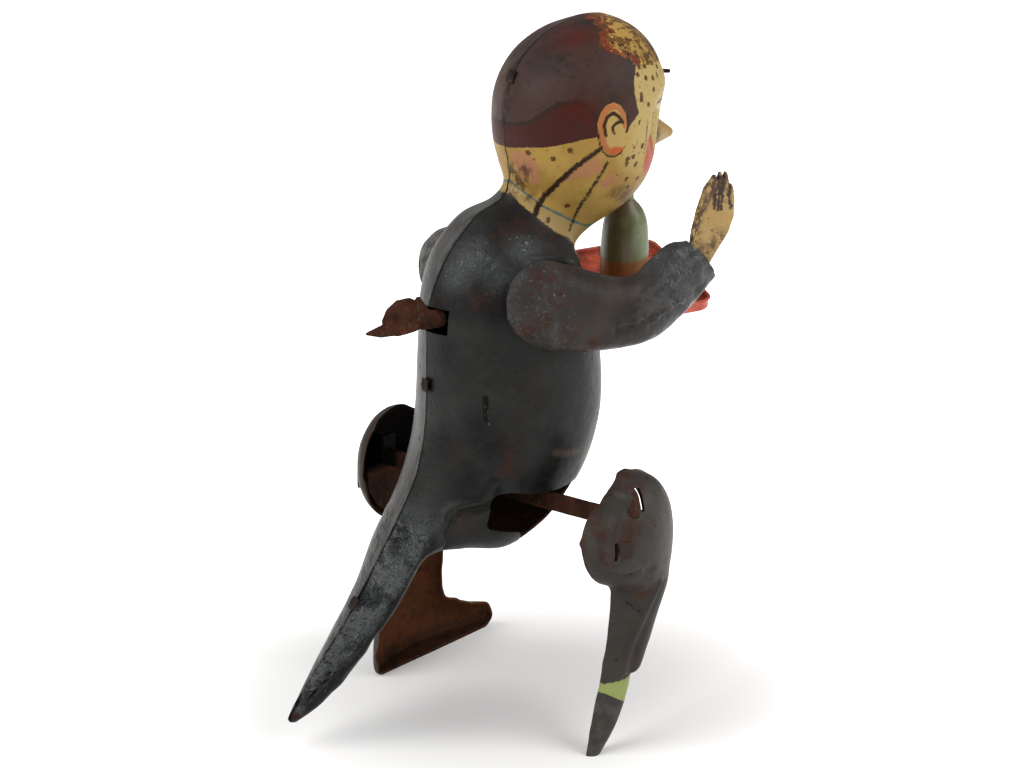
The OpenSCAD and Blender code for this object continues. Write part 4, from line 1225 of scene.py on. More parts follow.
    def paint(self, p: Array) -> dict[str, Array]:
        """Give the printed areas of the head, the collar and the coat, and the wear.

        Args:
            p: Drawn places in mm, one row each.

        Returns:
            The values by name, one for each place.
        """
        x, y, z = p.T
        flat, wide = p[:, 1:3], np.abs(x)
        mirrored, upright = np.column_stack((-wide, y, z)), np.column_stack((wide, z))
        top, foot = np.interp(y, *self.COLLAR_TOP), np.interp(y, *self.COLLAR_FOOT)
        near, front, face = only((z > 108.0) & (y < 8.0)), only(y < -8.0), only(y < -24.0)
        low, high = self.SHIRT_ENDS
        vee = np.minimum(np.interp(z, *self.SHIRT) - wide, np.minimum(z - low, high - z))
        bow = np.minimum(1.0 + 0.22 * wide - np.abs(z - self.BOW_Z), self.BOW_WIDE - wide) + front
        beside = np.abs(((z - self.STUD_FOOT) % self.STUD_STEP) - self.STUD_STEP / 2)
        studs = self.STUD_R - np.hypot(wide, beside) + front
        studs += only((z > self.STUD_ENDS[0]) & (z < self.STUD_ENDS[1]))
        (eye_x, eye_z), (eye_w, eye_h) = self.EYE_AT, self.EYE_SIZE
        eye = (1.0 - np.hypot((wide - eye_x) / eye_w, (z - eye_z) / eye_h)) * eye_h + face
        pupil = self.PUPIL_R - np.hypot(wide - self.PUPIL_AT[0], z - self.PUPIL_AT[1]) + face
        brow = 0.55 - line_distance(upright, self.BROW) + face
        lid = np.where(z > eye_z, 0.3 - np.abs(eye), AWAY)
        side = only(z > self.EAR_FOOT)
        ear = area_depth(flat, self.EAR) + side
        ear_line = np.full(len(p), OFF)
        for width, line in self.EAR_LINES:
            ear_line = np.maximum(ear_line, width - line_distance(flat, line) + side)
        red = area_depth(flat, self.RED_HAIR)
        edge = np.where(z > self.WORN_FOOT, -y - np.interp(z, *self.WORN_EDGE), OFF)
        rouge = 1.0 - np.linalg.norm((mirrored - self.ROUGE[0]) / self.ROUGE[1], axis=1)
        key_stem = ramp(spots(p, (self.KEY_STEM,), 9.0), 0.0, 0.5)
        red_spots = [spots(mirrored, (place,), radius) for radius, place in self.RED_SPOTS]
        values = blank(p, ("strip", "pink", "pale", "dark", "streak", "speck"),
                       ("grime", "warm", "tan", "gloss", "dark_patches_and_shade", "glint")) | {
            "flesh": z - top + near, "shirt": np.maximum(np.minimum(top - z, z - foot) + near, vee + front),
            "tie": np.maximum(bow, studs), "teal": 0.28 - 0.8 * np.abs(z - top) + near,
            "hair": area_depth(flat, self.HAIR), "red_hair": ramp(red, -0.6, 0.6), "red_edge": red,
            "worn": edge, "worn_deep": edge - 2.4, "worn_zone": ramp(edge, -1.0, 1.5),
            "brow_dark": ramp(-y, 25.0, 30.0) * ramp(z, 161.5, 165.0),
            "red_spot": np.maximum.reduce(red_spots), "soot_spot": spots(mirrored, self.SOOT_SPOTS, 5.0),
            "fair": ramp(-y, 17.0, 24.0) * ramp(z, 134.0, 142.0), "ear": ear, "ear_line": ear_line,
            "ear_glow": np.minimum(1.35 - line_distance(flat, self.EAR[:11]), ear),
            "lobe": np.minimum(area_depth(flat, self.LOBE), ear), "eye": eye,
            "lip": 0.85 - line_distance(upright, self.MOUTH) + face,
            "drawn": np.maximum.reduce((pupil, brow, lid)), "rouge": 4.6 * rouge,
            # Inside the body, black painted shade from the hips up, kept off the tin by the key's stem
            "jaw": spots(mirrored, self.JAW, 4.5), "painted_shade": (1.0 - key_stem) * ramp(z, 58.0, 70.0),
            "rust": 0.9 * ramp(-z, -11.0, -8.0), "seam": self.beyond_seam(p),
            "crumple": 0.25 * ramp(y, 23.0, 31.0) * ramp(-z, -62.0, -52.0)}
        if self.loft.side == RIGHT:
            values["speck"] = 0.12 - 0.8 * np.abs(z - foot) + near
            self.wear(p, values)
        return values

    def wear(self, p: Array, values: dict[str, Array]) -> None:
        """Add the marks of the side that the photograph shows.

        Args:
            p: Drawn places in mm.
            values: What the finish reads, which is changed.
        """
        y, z = p[:, 1], p[:, 2]
        flat, past, crumple = p[:, 1:3], values["seam"], values["crumple"]
        speck, bump = spots(p, self.FACE_SPECKS, 1.05), spots(p, self.BUMPS, 1.3)
        values["speck"] = np.maximum(np.where(speck > 0.0, 1.3 * speck - 0.35, OFF), values["speck"])
        streaks = [width - line_distance(flat, line) for width, line in zip((0.62, 0.40), self.STREAKS)]
        values["streak"] = np.maximum.reduce(
            [values["streak"], *streaks, 0.22 - line_distance(p, self.CHEEK_LINE)])
        pink = np.where(y > -6.0, area_depth(p[:, (0, 2)], self.PINK_BACK), OFF)
        values["pink"] = np.maximum.reduce([pink] + [area_depth(flat, area) for area in self.PINK_SIDE])
        values["grime"] = spots(p, self.GRIME, 4.0)
        ours = ramp(-past, 0.0, 0.6)
        # Painted glints on the shoulder and the crumpled tail
        values["glint"] = np.maximum(0.95 * spots(p, self.SPECKLED, 7.0), 1.3 * crumple) * ours
        band = np.array(self.TAIL_BAND)[::-1]
        beyond = ramp(np.interp(z, band[:, 2], band[:, 1]) - y, 0.0, 1.0)
        beyond = beyond * ramp(-z, -54.0, -51.0) * ramp(y, 24.0, 27.0)
        values["crumple"] = 4.0 * crumple * ours * (1.0 - beyond)
        # A lighter painted sheen, on metallic worn tin, on the shoulder and the crumpled tail
        values["gloss"] = np.maximum(0.62 * spots(p, self.SPECKLED, 6.6), values["crumple"])
        values["strip"] = np.where(z < 131.5, past, OFF)
        values["rust"] = np.maximum(values["rust"], 0.6 * spots(p, self.RUST, 4.5))
        values["pale"] = 0.14 - line_distance(p, self.SCRATCH)
        values["tan"] = ramp(-line_distance(p, self.TAN_STRIP), -1.4, -0.2)
        # Darker patches, and painted shade on the tail past its band, along its front edge
        values["dark_patches_and_shade"] = np.maximum(0.9 * spots(p, self.DARK_PATCHES, 7.5), 0.75 * beyond)
        values["seam"] = past + 0.45 * ramp(-z, -122.0, -112.0)
        # Dark lines: painted shade in the crevice of the shoulder fold and in the hem's crease, and dark
        # marks on the bumps
        values["dark"] = np.maximum.reduce((
            0.4 - line_distance(p, self.SHOULDER_FOLD),
            np.where(y > 8.0, 0.1 - line_distance(flat, self.HEM), OFF),
            np.where(bump > 0.0, 0.8 * bump - 0.35, OFF)))

    def openings(self) -> list[Opening]:
        """Give the hip, the shoulder hole, the plate's slot and the key's notch.

        Returns:
            Outline along Y and Z, and lowest and highest X, of each opening.
        """
        hip = eased(self.HIP_REAR + self.HIP_FRONT[self.loft.side])
        found = [(hip, *self.reach(8.0, 28.0)), (rivet_hole(), *self.reach(12.0, 22.0)),
                 (box_outline(*self.PLATE_SLOT), *self.reach(12.0, 24.0))]
        if self.loft.side == RIGHT:
            found.append((box_outline(*self.KEY_NOTCH), *self.NOTCH_REACH))
        return found


RIGHT_LEG_STATIONS = (
    (13.2, 0, 9, 0, 2), (11.8, 4.6, 5.2, 4.2, 3.2), (10.2, 10, 1.8, 9.6, 4.2), (8.4, 15.6, -0.4, 15.2, 4.6),
    (7.4, 19, -1.6, 18.8, 4.8), (7, 20.4, -3.8, 20, 6.2), (6, 25, -6.8, 24.8, 6.5),
    (4.7, 32, -10, 31.6, 7.2), (4.2, 37.6, -12.4, 37.4, 8.2), (4.8, 40.8, -13.4, 41.2, 9),
    (10.4, 44.2, -14.2, 44.8, 9.9), (14.2, 48.4, -14.6, 49, 10.9), (15.7, 53.4, -14.2, 55, 11.5),
    (14.4, 59.8, -12.6, 61.2, 10.9), (9.4, 64.4, -9.4, 65.8, 9), (5, 67.4, -5.8, 68.2, 6),
    (2.4, 69.2, -2.4, 69.2, 2.8), (0.5, 69.5, -0.5, 69.5, 0.5))
LEFT_LEG_STATIONS = (
    (9.8, 0, -31, 0, 5.8), (11.6, 0.7, -33.2, 0.7, 6.8), (12.3, 3, -34.8, 3, 7.4),
    (12.2, 7, -32.6, 6.8, 7.4), (11.4, 10.6, -24, 10.4, 7.2), (10.4, 15, -15.2, 15, 7),
    (9, 22, -14.4, 22, 7), (7.2, 31, -15, 31, 7), (5.2, 37.8, -14.6, 38, 7), (5.2, 41.4, -14, 42, 7),
    (9.8, 45, -13.2, 46, 7.2), (13.4, 49.2, -12.4, 50.4, 7.4), (15.6, 55.5, -11.6, 57, 7.6),
    (14.6, 63.5, -9.6, 64, 7.2), (11, 69, -5.6, 69.2, 5.4), (6, 72, -0.6, 72, 2.6),
    (3.4, 72.3, 2, 72.3, 0.5))


@dataclass
class Leg(Pressing):
    """Trouser leg, sock and shoe of one side, open towards the other leg."""

    RING = (
        (6.7, 65.6), (8.9, 64), (11.1, 62.1), (12.8, 60.1), (13.7, 57.4), (14.1, 55), (13.9, 51.9),
        (13, 49.7), (11.4, 47.5), (9.9, 46.4), (8.4, 46.3), (6, 47.3))
    GROOVE = ((12, 47.8), (9.5, 46.7), (7.2, 46.9), (5.8, 47.4), (2, 47.6))
    CREASE = ((-3.3, 42.1), (-1.5, 37.1), (1.2, 30.7), (3.1, 26.8), (4.4, 22.8), (5.2, 20.4))
    LENS = (
        (2.9, 66.9), (4.7, 65.9), (6.3, 65), (7.9, 63.4), (8.3, 62.2), (7.7, 61.4), (6.4, 61.5),
        (5.3, 62.2))
    PATCH = ((9.2, 57.3), (8.8, 53.6), (11.6, 52.4), (12.6, 54), (12.2, 56.6))
    SCAR = ((2.9, 37.8), (2, 36.6), (1.7, 35.6), (0.7, 35.2))
    SLIT = ((2.3, 66.9), (3.2, 66.9), (4.6, 64.4), (5.3, 62.5), (4.5, 62.4), (3.7, 64.3))
    RUST = (
        (-37.2, 13.5, 60.4), (-39.4, 13.8, 58), (-43.8, 10, 56.6), (-42.3, 0.7, 40.6), (-43.9, 8.7, 59.6),
        (-37.2, 2.4, 68.8), (-40, 13, 52), (-43, 1.5, 41.5), (-41, 3, 67.5))
    REAR_SLOT = box_outline(12.0, 12.8, 51.8, 56.2)
    LEFT_SLOTS = (box_outline(4.78, 5.62, 60.2, 65.0), box_outline(11.98, 12.82, 51.7, 56.3))

    def relief(self, p: Array) -> Array:
        """Give pressed ridges, the groove under the hip, the crease and a wavy rim.

        Args:
            p: Drawn places in mm, one row each.

        Returns:
            One height in mm for each place.
        """
        flat, rim = p[:, 1:3], np.abs(p[:, 0]) - LEG_RIM
        lift = 0.14 * grit(p, 8.0, 21) + 0.05 * grit(p, 3.0, 22)
        lift += 0.45 * np.exp(-(rim / 1.6) ** 2) * grit(p, 3.2, 23)
        if self.loft.side == RIGHT:
            y, z = flat.T
            ring, crease = np.array(self.RING), np.array(self.CREASE)
            for height, line, width in (
                    (-0.75, ring, 0.7), (0.60, ring * (0.93, 1.0) + (-0.2, 0.0), 0.9),
                    (-0.55, self.GROOVE, 1.1),
                    (0.60, crease, 0.8), (-0.30, crease + (-1.6, -0.4), 1.0), (-0.50, self.SCAR, 0.7)):
                lift += height * ridge(flat, line, width)
            lift += 0.80 * ramp(area_depth(flat, self.LENS), -0.1, 1.5)
            lift -= 0.6 * np.exp(-(rim / 3.0) ** 2) * ramp(y, 2.5, 3.4) * ramp(z, 60.0, 64.0)
            lift += 0.9 * spots(p, ((-LEG_RIM, 15.6, 55.4),), 1.6)
        return lift

    def paint(self, p: Array) -> dict[str, Array]:
        """Give the sock, the shoe and the wear, and painted shade: black high inside the leg and a little
        near the sole, and along the lens's rear edge on the right leg.

        Args:
            p: Drawn places in mm, one row each.

        Returns:
            The values by name, one for each place.
        """
        x, y, z = p.T
        flat, rim = p[:, 1:3], np.exp(-((np.abs(x) - LEG_RIM) / 1.0) ** 2)
        values = blank(p, ("pale", "dark", "tongue"), ("glint", "crumple")) | {
            # Black painted shade high inside the leg's hollow, and a little just above the sole
            "painted_shade": np.maximum(ramp(z, 54.2, 56.2), 0.2 * ramp(-z, -5.0, -1.5)),
            "warm": ramp(-z, -52.0, -30.0) * ramp(z, 1.0, 5.0), "rust": 0.6 * rim}
        hem, shoe = 19.0, np.interp(y, (-24, -14, 10), (9.0, 13.0, 14.2))
        if self.loft.side == RIGHT:
            hem = np.interp(y, (0, 4, 8), (18.9, 18.4, 17.4))
            shoe = np.interp(y, (-2, 3.7, 6.3, 8.4), (11.0, 12.1, 13.7, 15.2))
            values["rust"] = np.maximum(0.75 * spots(p, self.RUST, 4.0), 0.8 * rim * ramp(z, 30.0, 42.0))
            values["tongue"] = np.maximum(area_depth(flat, self.LENS), area_depth(flat, self.PATCH))
            # Dark lines: a dark scar in a dent, and painted shade along the lens's rear edge
            values["dark"] = np.maximum(0.12 - line_distance(flat, self.SCAR),
                                        0.14 - line_distance(flat, self.LENS[3:7]))
        return values | {"sock": np.minimum(hem - z, z - shoe), "shoe": shoe - z}

    def openings(self) -> list[Opening]:
        """Give the slots that the strip's tongues come through."""
        slots = (self.SLIT, self.REAR_SLOT) if self.loft.side == RIGHT else self.LEFT_SLOTS
        return [(slot, *self.reach(37.0, 49.0)) for slot in slots]


SLEEVE_STATIONS = (
    (12.8, 112.2, 12.4, 107.2, 0.3), (10.8, 116.6, 9.8, 102.8, 0.76), (5, 119.8, 4.2, 99.4, 1),
    (-2, 118.6, -4, 97.6, 1), (-10, 115.8, -13, 96.9, 0.94), (-17, 113.8, -21.6, 97.2, 0.86),
    (-21.6, 114.2, -28.6, 99.2, 0.8), (-25, 116.8, -35, 103.4, 0.78), (-30, 120.2, -39.5, 107.2, 0.76),
    (-35.4, 120.9, -43.2, 111.4, 0.72))


@dataclass
class Sleeve(Pressing):
    """Outer or inner half of one sleeve."""

    RUST = (
        (6.3, 116.4), (2, 111.6), (5.8, 107.3), (-7.3, 99.3), (-0.9, 104.1), (9.5, 112), (3, 116),
        (8.5, 104.8))
    WRINKLES = (
        ((-28, 110.2), (-30, 111.6), (-32.4, 114.3), (-34.9, 117.5)), ((-20.2, 108.9), (-23.3, 110.8),
        (-26.1, 112.9), (-28.3, 115.1)), ((-24, 103.5), (-28, 106), (-31.5, 107.5)), ((-14, 104),
        (-20, 104.6), (-26, 107.2)))

    def relief(self, p: Array) -> Array:
        """Give dents, the cap's lumps, the elbow's wrinkles, the crumpled cuff and the seam's lip.

        Args:
            p: Drawn places in mm, one row each.

        Returns:
            One height in mm for each place.
        """
        flat, y = p[:, 1:3], p[:, 1]
        lift = 0.16 * grit(p, 7.0, 31) + 0.06 * grit(p, 2.5, 32)
        lift += ramp(y, -6.0, 3.0) * (0.38 * grit(p, 4.0, 34) + 0.12 * grit(p, 1.8, 35))
        for line in self.WRINKLES:
            lift += 0.62 * ridge(flat, line, 0.9) - 0.58 * ridge(flat, np.array(line) + (0.4, -1.5), 0.9)
        lift += 0.22 * np.exp(-((p[:, 0] - self.loft.rim_x) / 0.8) ** 2)
        return lift + 0.55 * ramp(-y, 29.0, 36.0) * grit(p, 2.4, 33)

    def paint(self, p: Array) -> dict[str, Array]:
        """Give rust spots, the worn cap and elbow with painted glints and sheen, and painted shade under the
        cap and inside.

        Args:
            p: Drawn places in mm, one row each.

        Returns:
            The values by name, one for each place.
        """
        x, y, z = p.T
        cap, elbow = ramp(y, -6.0, 3.0), ramp(-y, 20.0, 28.0)
        return blank(p, ("pale",), ("warm",)) | {
            # Black painted shade over the whole inside
            "rust": 0.95 * spots(p[:, 1:3], self.RUST, 4.2), "painted_shade": np.ones(len(p)),
            # Painted glints and a lighter painted sheen on the cap and the elbow
            "glint": np.maximum(0.08 * elbow, 0.6 * cap), "crumple": np.maximum(0.25 * elbow, 0.3 * cap),
            "gloss": np.maximum(0.75 * ramp(-y, 18.0, 30.0), 0.3 * ramp(y, -2.0, 4.0)),
            # Painted shade in the crevice under the cap
            "dark": np.where((z < 108.0) & (y > -8.0), 0.25 - np.abs(x - self.loft.rim_x), OFF)}

    def openings(self) -> list[Opening]:
        """Give the rivet's hole in the inner half.

        Returns:
            Outline along Y and Z, and lowest and highest X, of each opening.
        """
        if self.loft.side * self.loft.rim_x > 0:
            return []
        return [(rivet_hole(), *self.reach(-23.0, -18.0))]


# Small pieces

@dataclass
class Nose:
    """Soldered tin cone."""

    root: Place = (0.0, -38.4, 144.0)
    lean: float = 98.0
    base_r: float = 4.6
    tip_r: float = 0.9
    length: float = 7.2

    def build(self) -> Object:
        """Make the cone with a soft tip and a rim at its root.

        Returns:
            The new piece.
        """
        root, tip, top = self.base_r, self.tip_r, self.length
        outline = [(0.01, -0.6), (root - 0.3, -0.6), (root + 0.15, 0.1), (root - 0.15, 0.5)]
        outline += [(root + (tip - root) * k, top * k) for k in (0.3, 0.6, 0.85, 0.95)]
        outline += [(tip * 0.8, top), (tip * 0.4, top + 0.25), (0.01, top + 0.3)]
        points, faces = lathe(outline, 48, 3)
        turn = np.array(Matrix.Rotation(math.radians(self.lean), 3, "X"))
        points = points + 0.08 * grit(points, 2.0, 41)[:, None] * points / 5.0
        piece = mesh_object("nose", FIGURE.to_row(points @ turn.T + np.array(self.root)), faces, [FLESH])
        height = points[:, 2]
        carry(piece, {"groove": 0.5 - np.abs(height + 0.1), "grime": 0.7 * ramp(-height, -3.0, -0.5)})
        enlist(piece, "figure", "nose_cone")
        return piece


@dataclass
class TrayAndBottle:
    """Rectangular tray with a rolled rim, and the bottle nailed to it."""

    at: Place = (7.9, -41.0, 102.7)
    tilt: float = 13.5
    axis: Place = (-0.47, -0.88, 0.0)
    swing: float = -7.0
    wide: float = 38.0
    deep: float = 25.0
    corner: float = 3.5
    floor: float = 0.7
    bottle_at: tuple[float, float] = (1.8, 2.7)
    bottle_r: float = 6.1
    foot: float = 8.4  # mm, how far up the bottle is ochre
    crown: float = 20.5  # mm, from where its shoulder is worn
    # Inset and height of the tray's section in mm, from under the floor round the bead and back onto it
    SECTION = (
        (12, 0), (6, 0), (1.2, 0), (0.5, 0.05), (0.12, 0.35), (0.02, 0.9), (0, 2.2), (-0.2, 2.45),
        (-0.42, 2.75), (-0.36, 3.05), (-0.1, 3.2), (0.25, 3.15), (0.45, 2.9), (0.5, 2.5), (0.62, 1.4),
        (0.95, 0.9), (1.6, 0.7), (6, 0.7), (12, 0.7))
    # Share of the radius, and height in mm, of the bottle's outline
    OUTLINE = (
        (0.002, 0), (0.94, 0), (0.985, 0.4), (1, 1.5), (1, 9), (0.99, 11), (0.97, 13), (0.93, 16),
        (0.875, 17.8), (0.8, 19.2), (0.71, 20.4), (0.6, 21.4), (0.48, 22.2), (0.385, 22.9), (0.33, 23.4),
        (0.31, 24), (0.31, 25.7), (0.37, 26), (0.375, 26.8), (0.33, 27), (0.002, 27))

    def settled(self, points: Array) -> Array:
        """Turn places on the tray into row metres.

        Args:
            points: Places in mm, one row each, before the tray is tilted.

        Returns:
            The places in row metres.
        """
        turn = Matrix.Rotation(math.radians(self.tilt), 3, Vector(self.axis)) @ Matrix.Rotation(
            math.radians(self.swing), 3, "Z")
        return FIGURE.to_row(points @ np.array(turn).T + np.array(self.at))

    def ring(self, inset: float, height: float) -> Array:
        """Give one rounded rectangle, so much smaller all round, at a height.

        Args:
            inset: How far in mm it lies within the tray's edge.
            height: Its height in mm.

        Returns:
            Places in mm, in order round the rectangle.
        """
        radius = max(self.corner - inset, 0.4)
        found = []
        for quarter, (sx, sy) in enumerate(((1, 1), (-1, 1), (-1, -1), (1, -1))):
            for k in range(9):
                angle = (quarter + k / 8.0) * math.pi / 2.0
                found.append((sx * (self.wide / 2 - inset - radius) + radius * math.cos(angle),
                              sy * (self.deep / 2 - inset - radius) + radius * math.sin(angle), height))
        return np.array(found)

    def tray(self) -> Object:
        """Make the tray: floor, wall and rolled bead.

        Returns:
            The new piece.
        """
        rings = [self.ring(inset, height) for inset, height in self.SECTION]
        count = len(rings[0])
        points = np.vstack(rings)
        dented = points + np.array([0, 0, 1.0]) * 0.08 * grit(points, 6.0, 51)[:, None]
        piece = mesh_object("tray_dressed", self.settled(dented), ring_faces(len(rings), count), [TRAY_RED])
        carry(piece, {"edge": np.repeat([-1.6 if z < 2.6 else -0.35 for _, z in self.SECTION], count),
                      "grime": np.repeat([0.9 if i > 11 else 0.25 for i in range(len(rings))], count)})
        enlist(piece, "left_arm", "tray")
        return piece

    def bottle(self) -> Object:
        """Make the bottle: body, round shoulder, short neck and lip.

        Returns:
            The new piece.
        """
        points, faces = lathe([(self.bottle_r * share, height) for share, height in self.OUTLINE], 72, 3)
        points = points * (1.0 + 0.008 * grit(points, (2.0, 2.0, 14.0), 52)[:, None] * np.array((1, 1, 0)))
        spot = points + np.array((*self.bottle_at, self.floor))
        piece = mesh_object("bottle_dressed", self.settled(spot), faces, [BOTTLE_GREEN])
        reach = np.maximum(np.hypot(points[:, 0], points[:, 1]), 1e-6)
        share = (points[:, :2] @ np.array((-0.68, 0.73))) / reach
        carry(piece, {"foot": self.foot - points[:, 2], "crown": points[:, 2] - self.crown,
                      # Darker olive brown band up the side that faces along (-0.68, 0.73)
                      "darker_band": ramp(share, 0.45, 0.9)})
        enlist(piece, "left_arm", "bottle")
        return piece

    def build(self) -> list[Object]:
        """Make both."""
        return [self.tray(), self.bottle()]


@dataclass
class SoftenedBit:
    """A flat cut piece, drawn from its solid with eased corners and dents."""

    node: str
    body: str
    slot: str
    finish: Finish
    grain_mm: float  # size of the mesh that it is drawn with
    rounds: int  # how often its corners are eased
    dents_mm: float
    seed: int
    stance: Stance = FIGURE

    def shape(self, spot: Array) -> Array | None:
        """Give the moved points, from drawn places in mm, or nothing where easing is enough."""
        return None

    def paint(self, spot: Array) -> dict[str, Array]:
        """Give the values that the finish reads at each drawn place in mm."""
        return {}

    def softened(self) -> Object:
        """Make a softened and dented form of the solid.

        Returns:
            The new piece.
        """
        name = f"{self.node}_dressed"
        piece = bpy.data.objects.new(name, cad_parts[self.node].data.copy())
        bpy.context.scene.collection.objects.link(piece)
        shell = bmesh.new()
        shell.from_mesh(piece.data)
        bmesh.ops.remove_doubles(shell, verts=shell.verts, dist=1e-6)
        shell.to_mesh(piece.data)
        shell.free()
        grain = piece.modifiers.new("grain", "REMESH")
        grain.mode, grain.voxel_size = "VOXEL", self.grain_mm * MM
        ease = piece.modifiers.new("ease", "SMOOTH")
        ease.factor, ease.iterations = 0.5, self.rounds
        settle(piece)
        for attribute in list(piece.data.attributes):
            if not attribute.is_required and not attribute.is_internal:
                piece.data.attributes.remove(attribute)
        spot = places(piece) * PER_METRE
        lift = self.dents_mm * (grit(spot, 2.6, self.seed) + 0.5 * grit(spot, 1.1, self.seed + 1))
        moved = (spot + places(piece, "normal") * lift[:, None]) * MM
        piece.data.vertices.foreach_set("co", moved.ravel())
        piece.data.materials.clear()
        piece.data.materials.append(self.finish.material())
        piece.data.polygons.foreach_set("material_index", np.zeros(len(piece.data.polygons), np.int32))
        smooth(piece, 60.0)
        return piece

    def build(self) -> Object:
        """Make the piece and put it in place of its solid.

        Returns:
            The new piece.
        """
        piece = self.softened()
        spot = self.stance.from_row(places(piece))
        moved = self.shape(spot)
        if moved is not None:
            piece.data.vertices.foreach_set("co", self.stance.to_row(moved).ravel())
        carry(piece, self.paint(spot if moved is None else moved))
        enlist(piece, self.body, self.node)
        return piece


@dataclass
class FlatHand(SoftenedBit):
    """The hand under the tray."""

    def paint(self, spot: Array) -> dict[str, Array]:
        """Give even grime."""
        return blank(spot, ("groove",), ()) | {"grime": np.full(len(spot), 0.4)}


@dataclass
class Key(SoftenedBit):
    """The winding key."""

    GAIN = 0.25  # how much wider the bow is drawn
    ROOT = (-26.0, -25.0)  # mm, where along -Y the bow ends at the stem

    def shape(self, spot: Array) -> Array:
        """Widen the bow about the stem's axis.

        Args:
            spot: Drawn places in mm, one row each.

        Returns:
            The moved places.
        """
        wider = 1.0 + self.GAIN * ramp(-spot[:, 1], *self.ROOT)
        spot[:, ::2] = KEY_AXIS + (spot[:, ::2] - KEY_AXIS) * wider[:, None]
        return spot


@dataclass
class SeamTabs(SoftenedBit):
    """The tabs along the seam, and the one that sticks out at the forehead as a spike."""

    # Y and Z in mm, and lean in degrees
    FOLDS = ((-0.2, 159.6, 20.0), (23.05, 87.4, 2.0), (42.9, 34.9, 33.0))
    FOLD_X, LUMP_SIZE, LUMP_HEIGHT = -1.6, (1.3, 1.6, 1.3), 0.8  # mm
    SPIKE_FROM = -30.0  # mm along Y, in front of which only the spike lies
    ROOT_DRAWN, ROOT_MOVED, LONGER = 39.3, -37.6, 1.97  # mm, mm, and how much longer the spike is

    def shape(self, spot: Array) -> Array:
        """Lengthen the spike and raise a lump on each folded tab.

        Args:
            spot: Drawn places in mm, one row each.

        Returns:
            The moved places.
        """
        spike = spot[:, 1] < self.SPIKE_FROM
        spot[spike, 1] = self.ROOT_MOVED + self.LONGER * (spot[spike, 1] + self.ROOT_DRAWN)
        for y, z, lean in self.FOLDS:
            away = np.linalg.norm((spot - (self.FOLD_X, y, z)) / self.LUMP_SIZE, axis=1)
            out = np.array((0.0, math.cos(math.radians(lean)), math.sin(math.radians(lean))))
            lump = np.exp(-away ** 2) * (1.0 + 0.5 * grit(spot, 0.9, 71))
            spot += self.LUMP_HEIGHT * lump[:, None] * out
        return spot


@dataclass
class RaisedHand(SoftenedBit):
    """The right hand, held up, with notches between its finger tips and grime along its edge."""

    GROOVES = (
        ((-43.7, 136.5), (-44.1, 132.3), (-43.9, 128.0)), ((-45.3, 137.0), (-44.9, 132.3), (-44.6, 127.9)),
        ((-47.1, 135.5), (-46.8, 131.0), (-47.5, 128.1)), ((-42.9, 132.6), (-42.8, 128.6)))
    STAINS = (
        (-39.1, 118.2), (-42.5, 119.1), (-44.2, 120.9), (-36.6, 120.8), (-37.6, 122), (-38.3, 117.5),
        (-40.5, 117))
    BACK = ((-36.2, 119.5), (-37.3, 122.8), (-38.3, 126.1), (-39.6, 129.1), (-41.8, 132.5), (-43, 135.5))

    def shape(self, spot: Array) -> Array:
        """Press notches between the finger tips.

        Args:
            spot: Drawn places in mm, one row each.

        Returns:
            The moved places.
        """
        tips = [line[0][0] for line in self.GROOVES[:3]]
        gaps = np.maximum.reduce([np.exp(-((spot[:, 1] - tip) / 0.45) ** 2) for tip in tips])
        spot[:, 2] -= 1.7 * gaps * ramp(spot[:, 2], 131.5, 135.5)
        return spot

    def paint(self, spot: Array) -> dict[str, Array]:
        """Give the grooves between the fingers, and grime on the tips, the back edge and the wrist.

        Args:
            spot: Drawn places in mm, one row each.

        Returns:
            The values by name, one for each place.
        """
        flat = spot[:, 1:3]
        tips = 0.85 * ramp(spot[:, 2], 129.5, 134.5)
        edge = ramp(-line_distance(flat, self.BACK), -2.0, -0.4)
        return {"groove": np.maximum.reduce([0.5 - line_distance(flat, line) for line in self.GROOVES]),
                "grime": np.maximum.reduce((tips, edge, 0.95 * spots(flat, self.STAINS, 3.4)))}


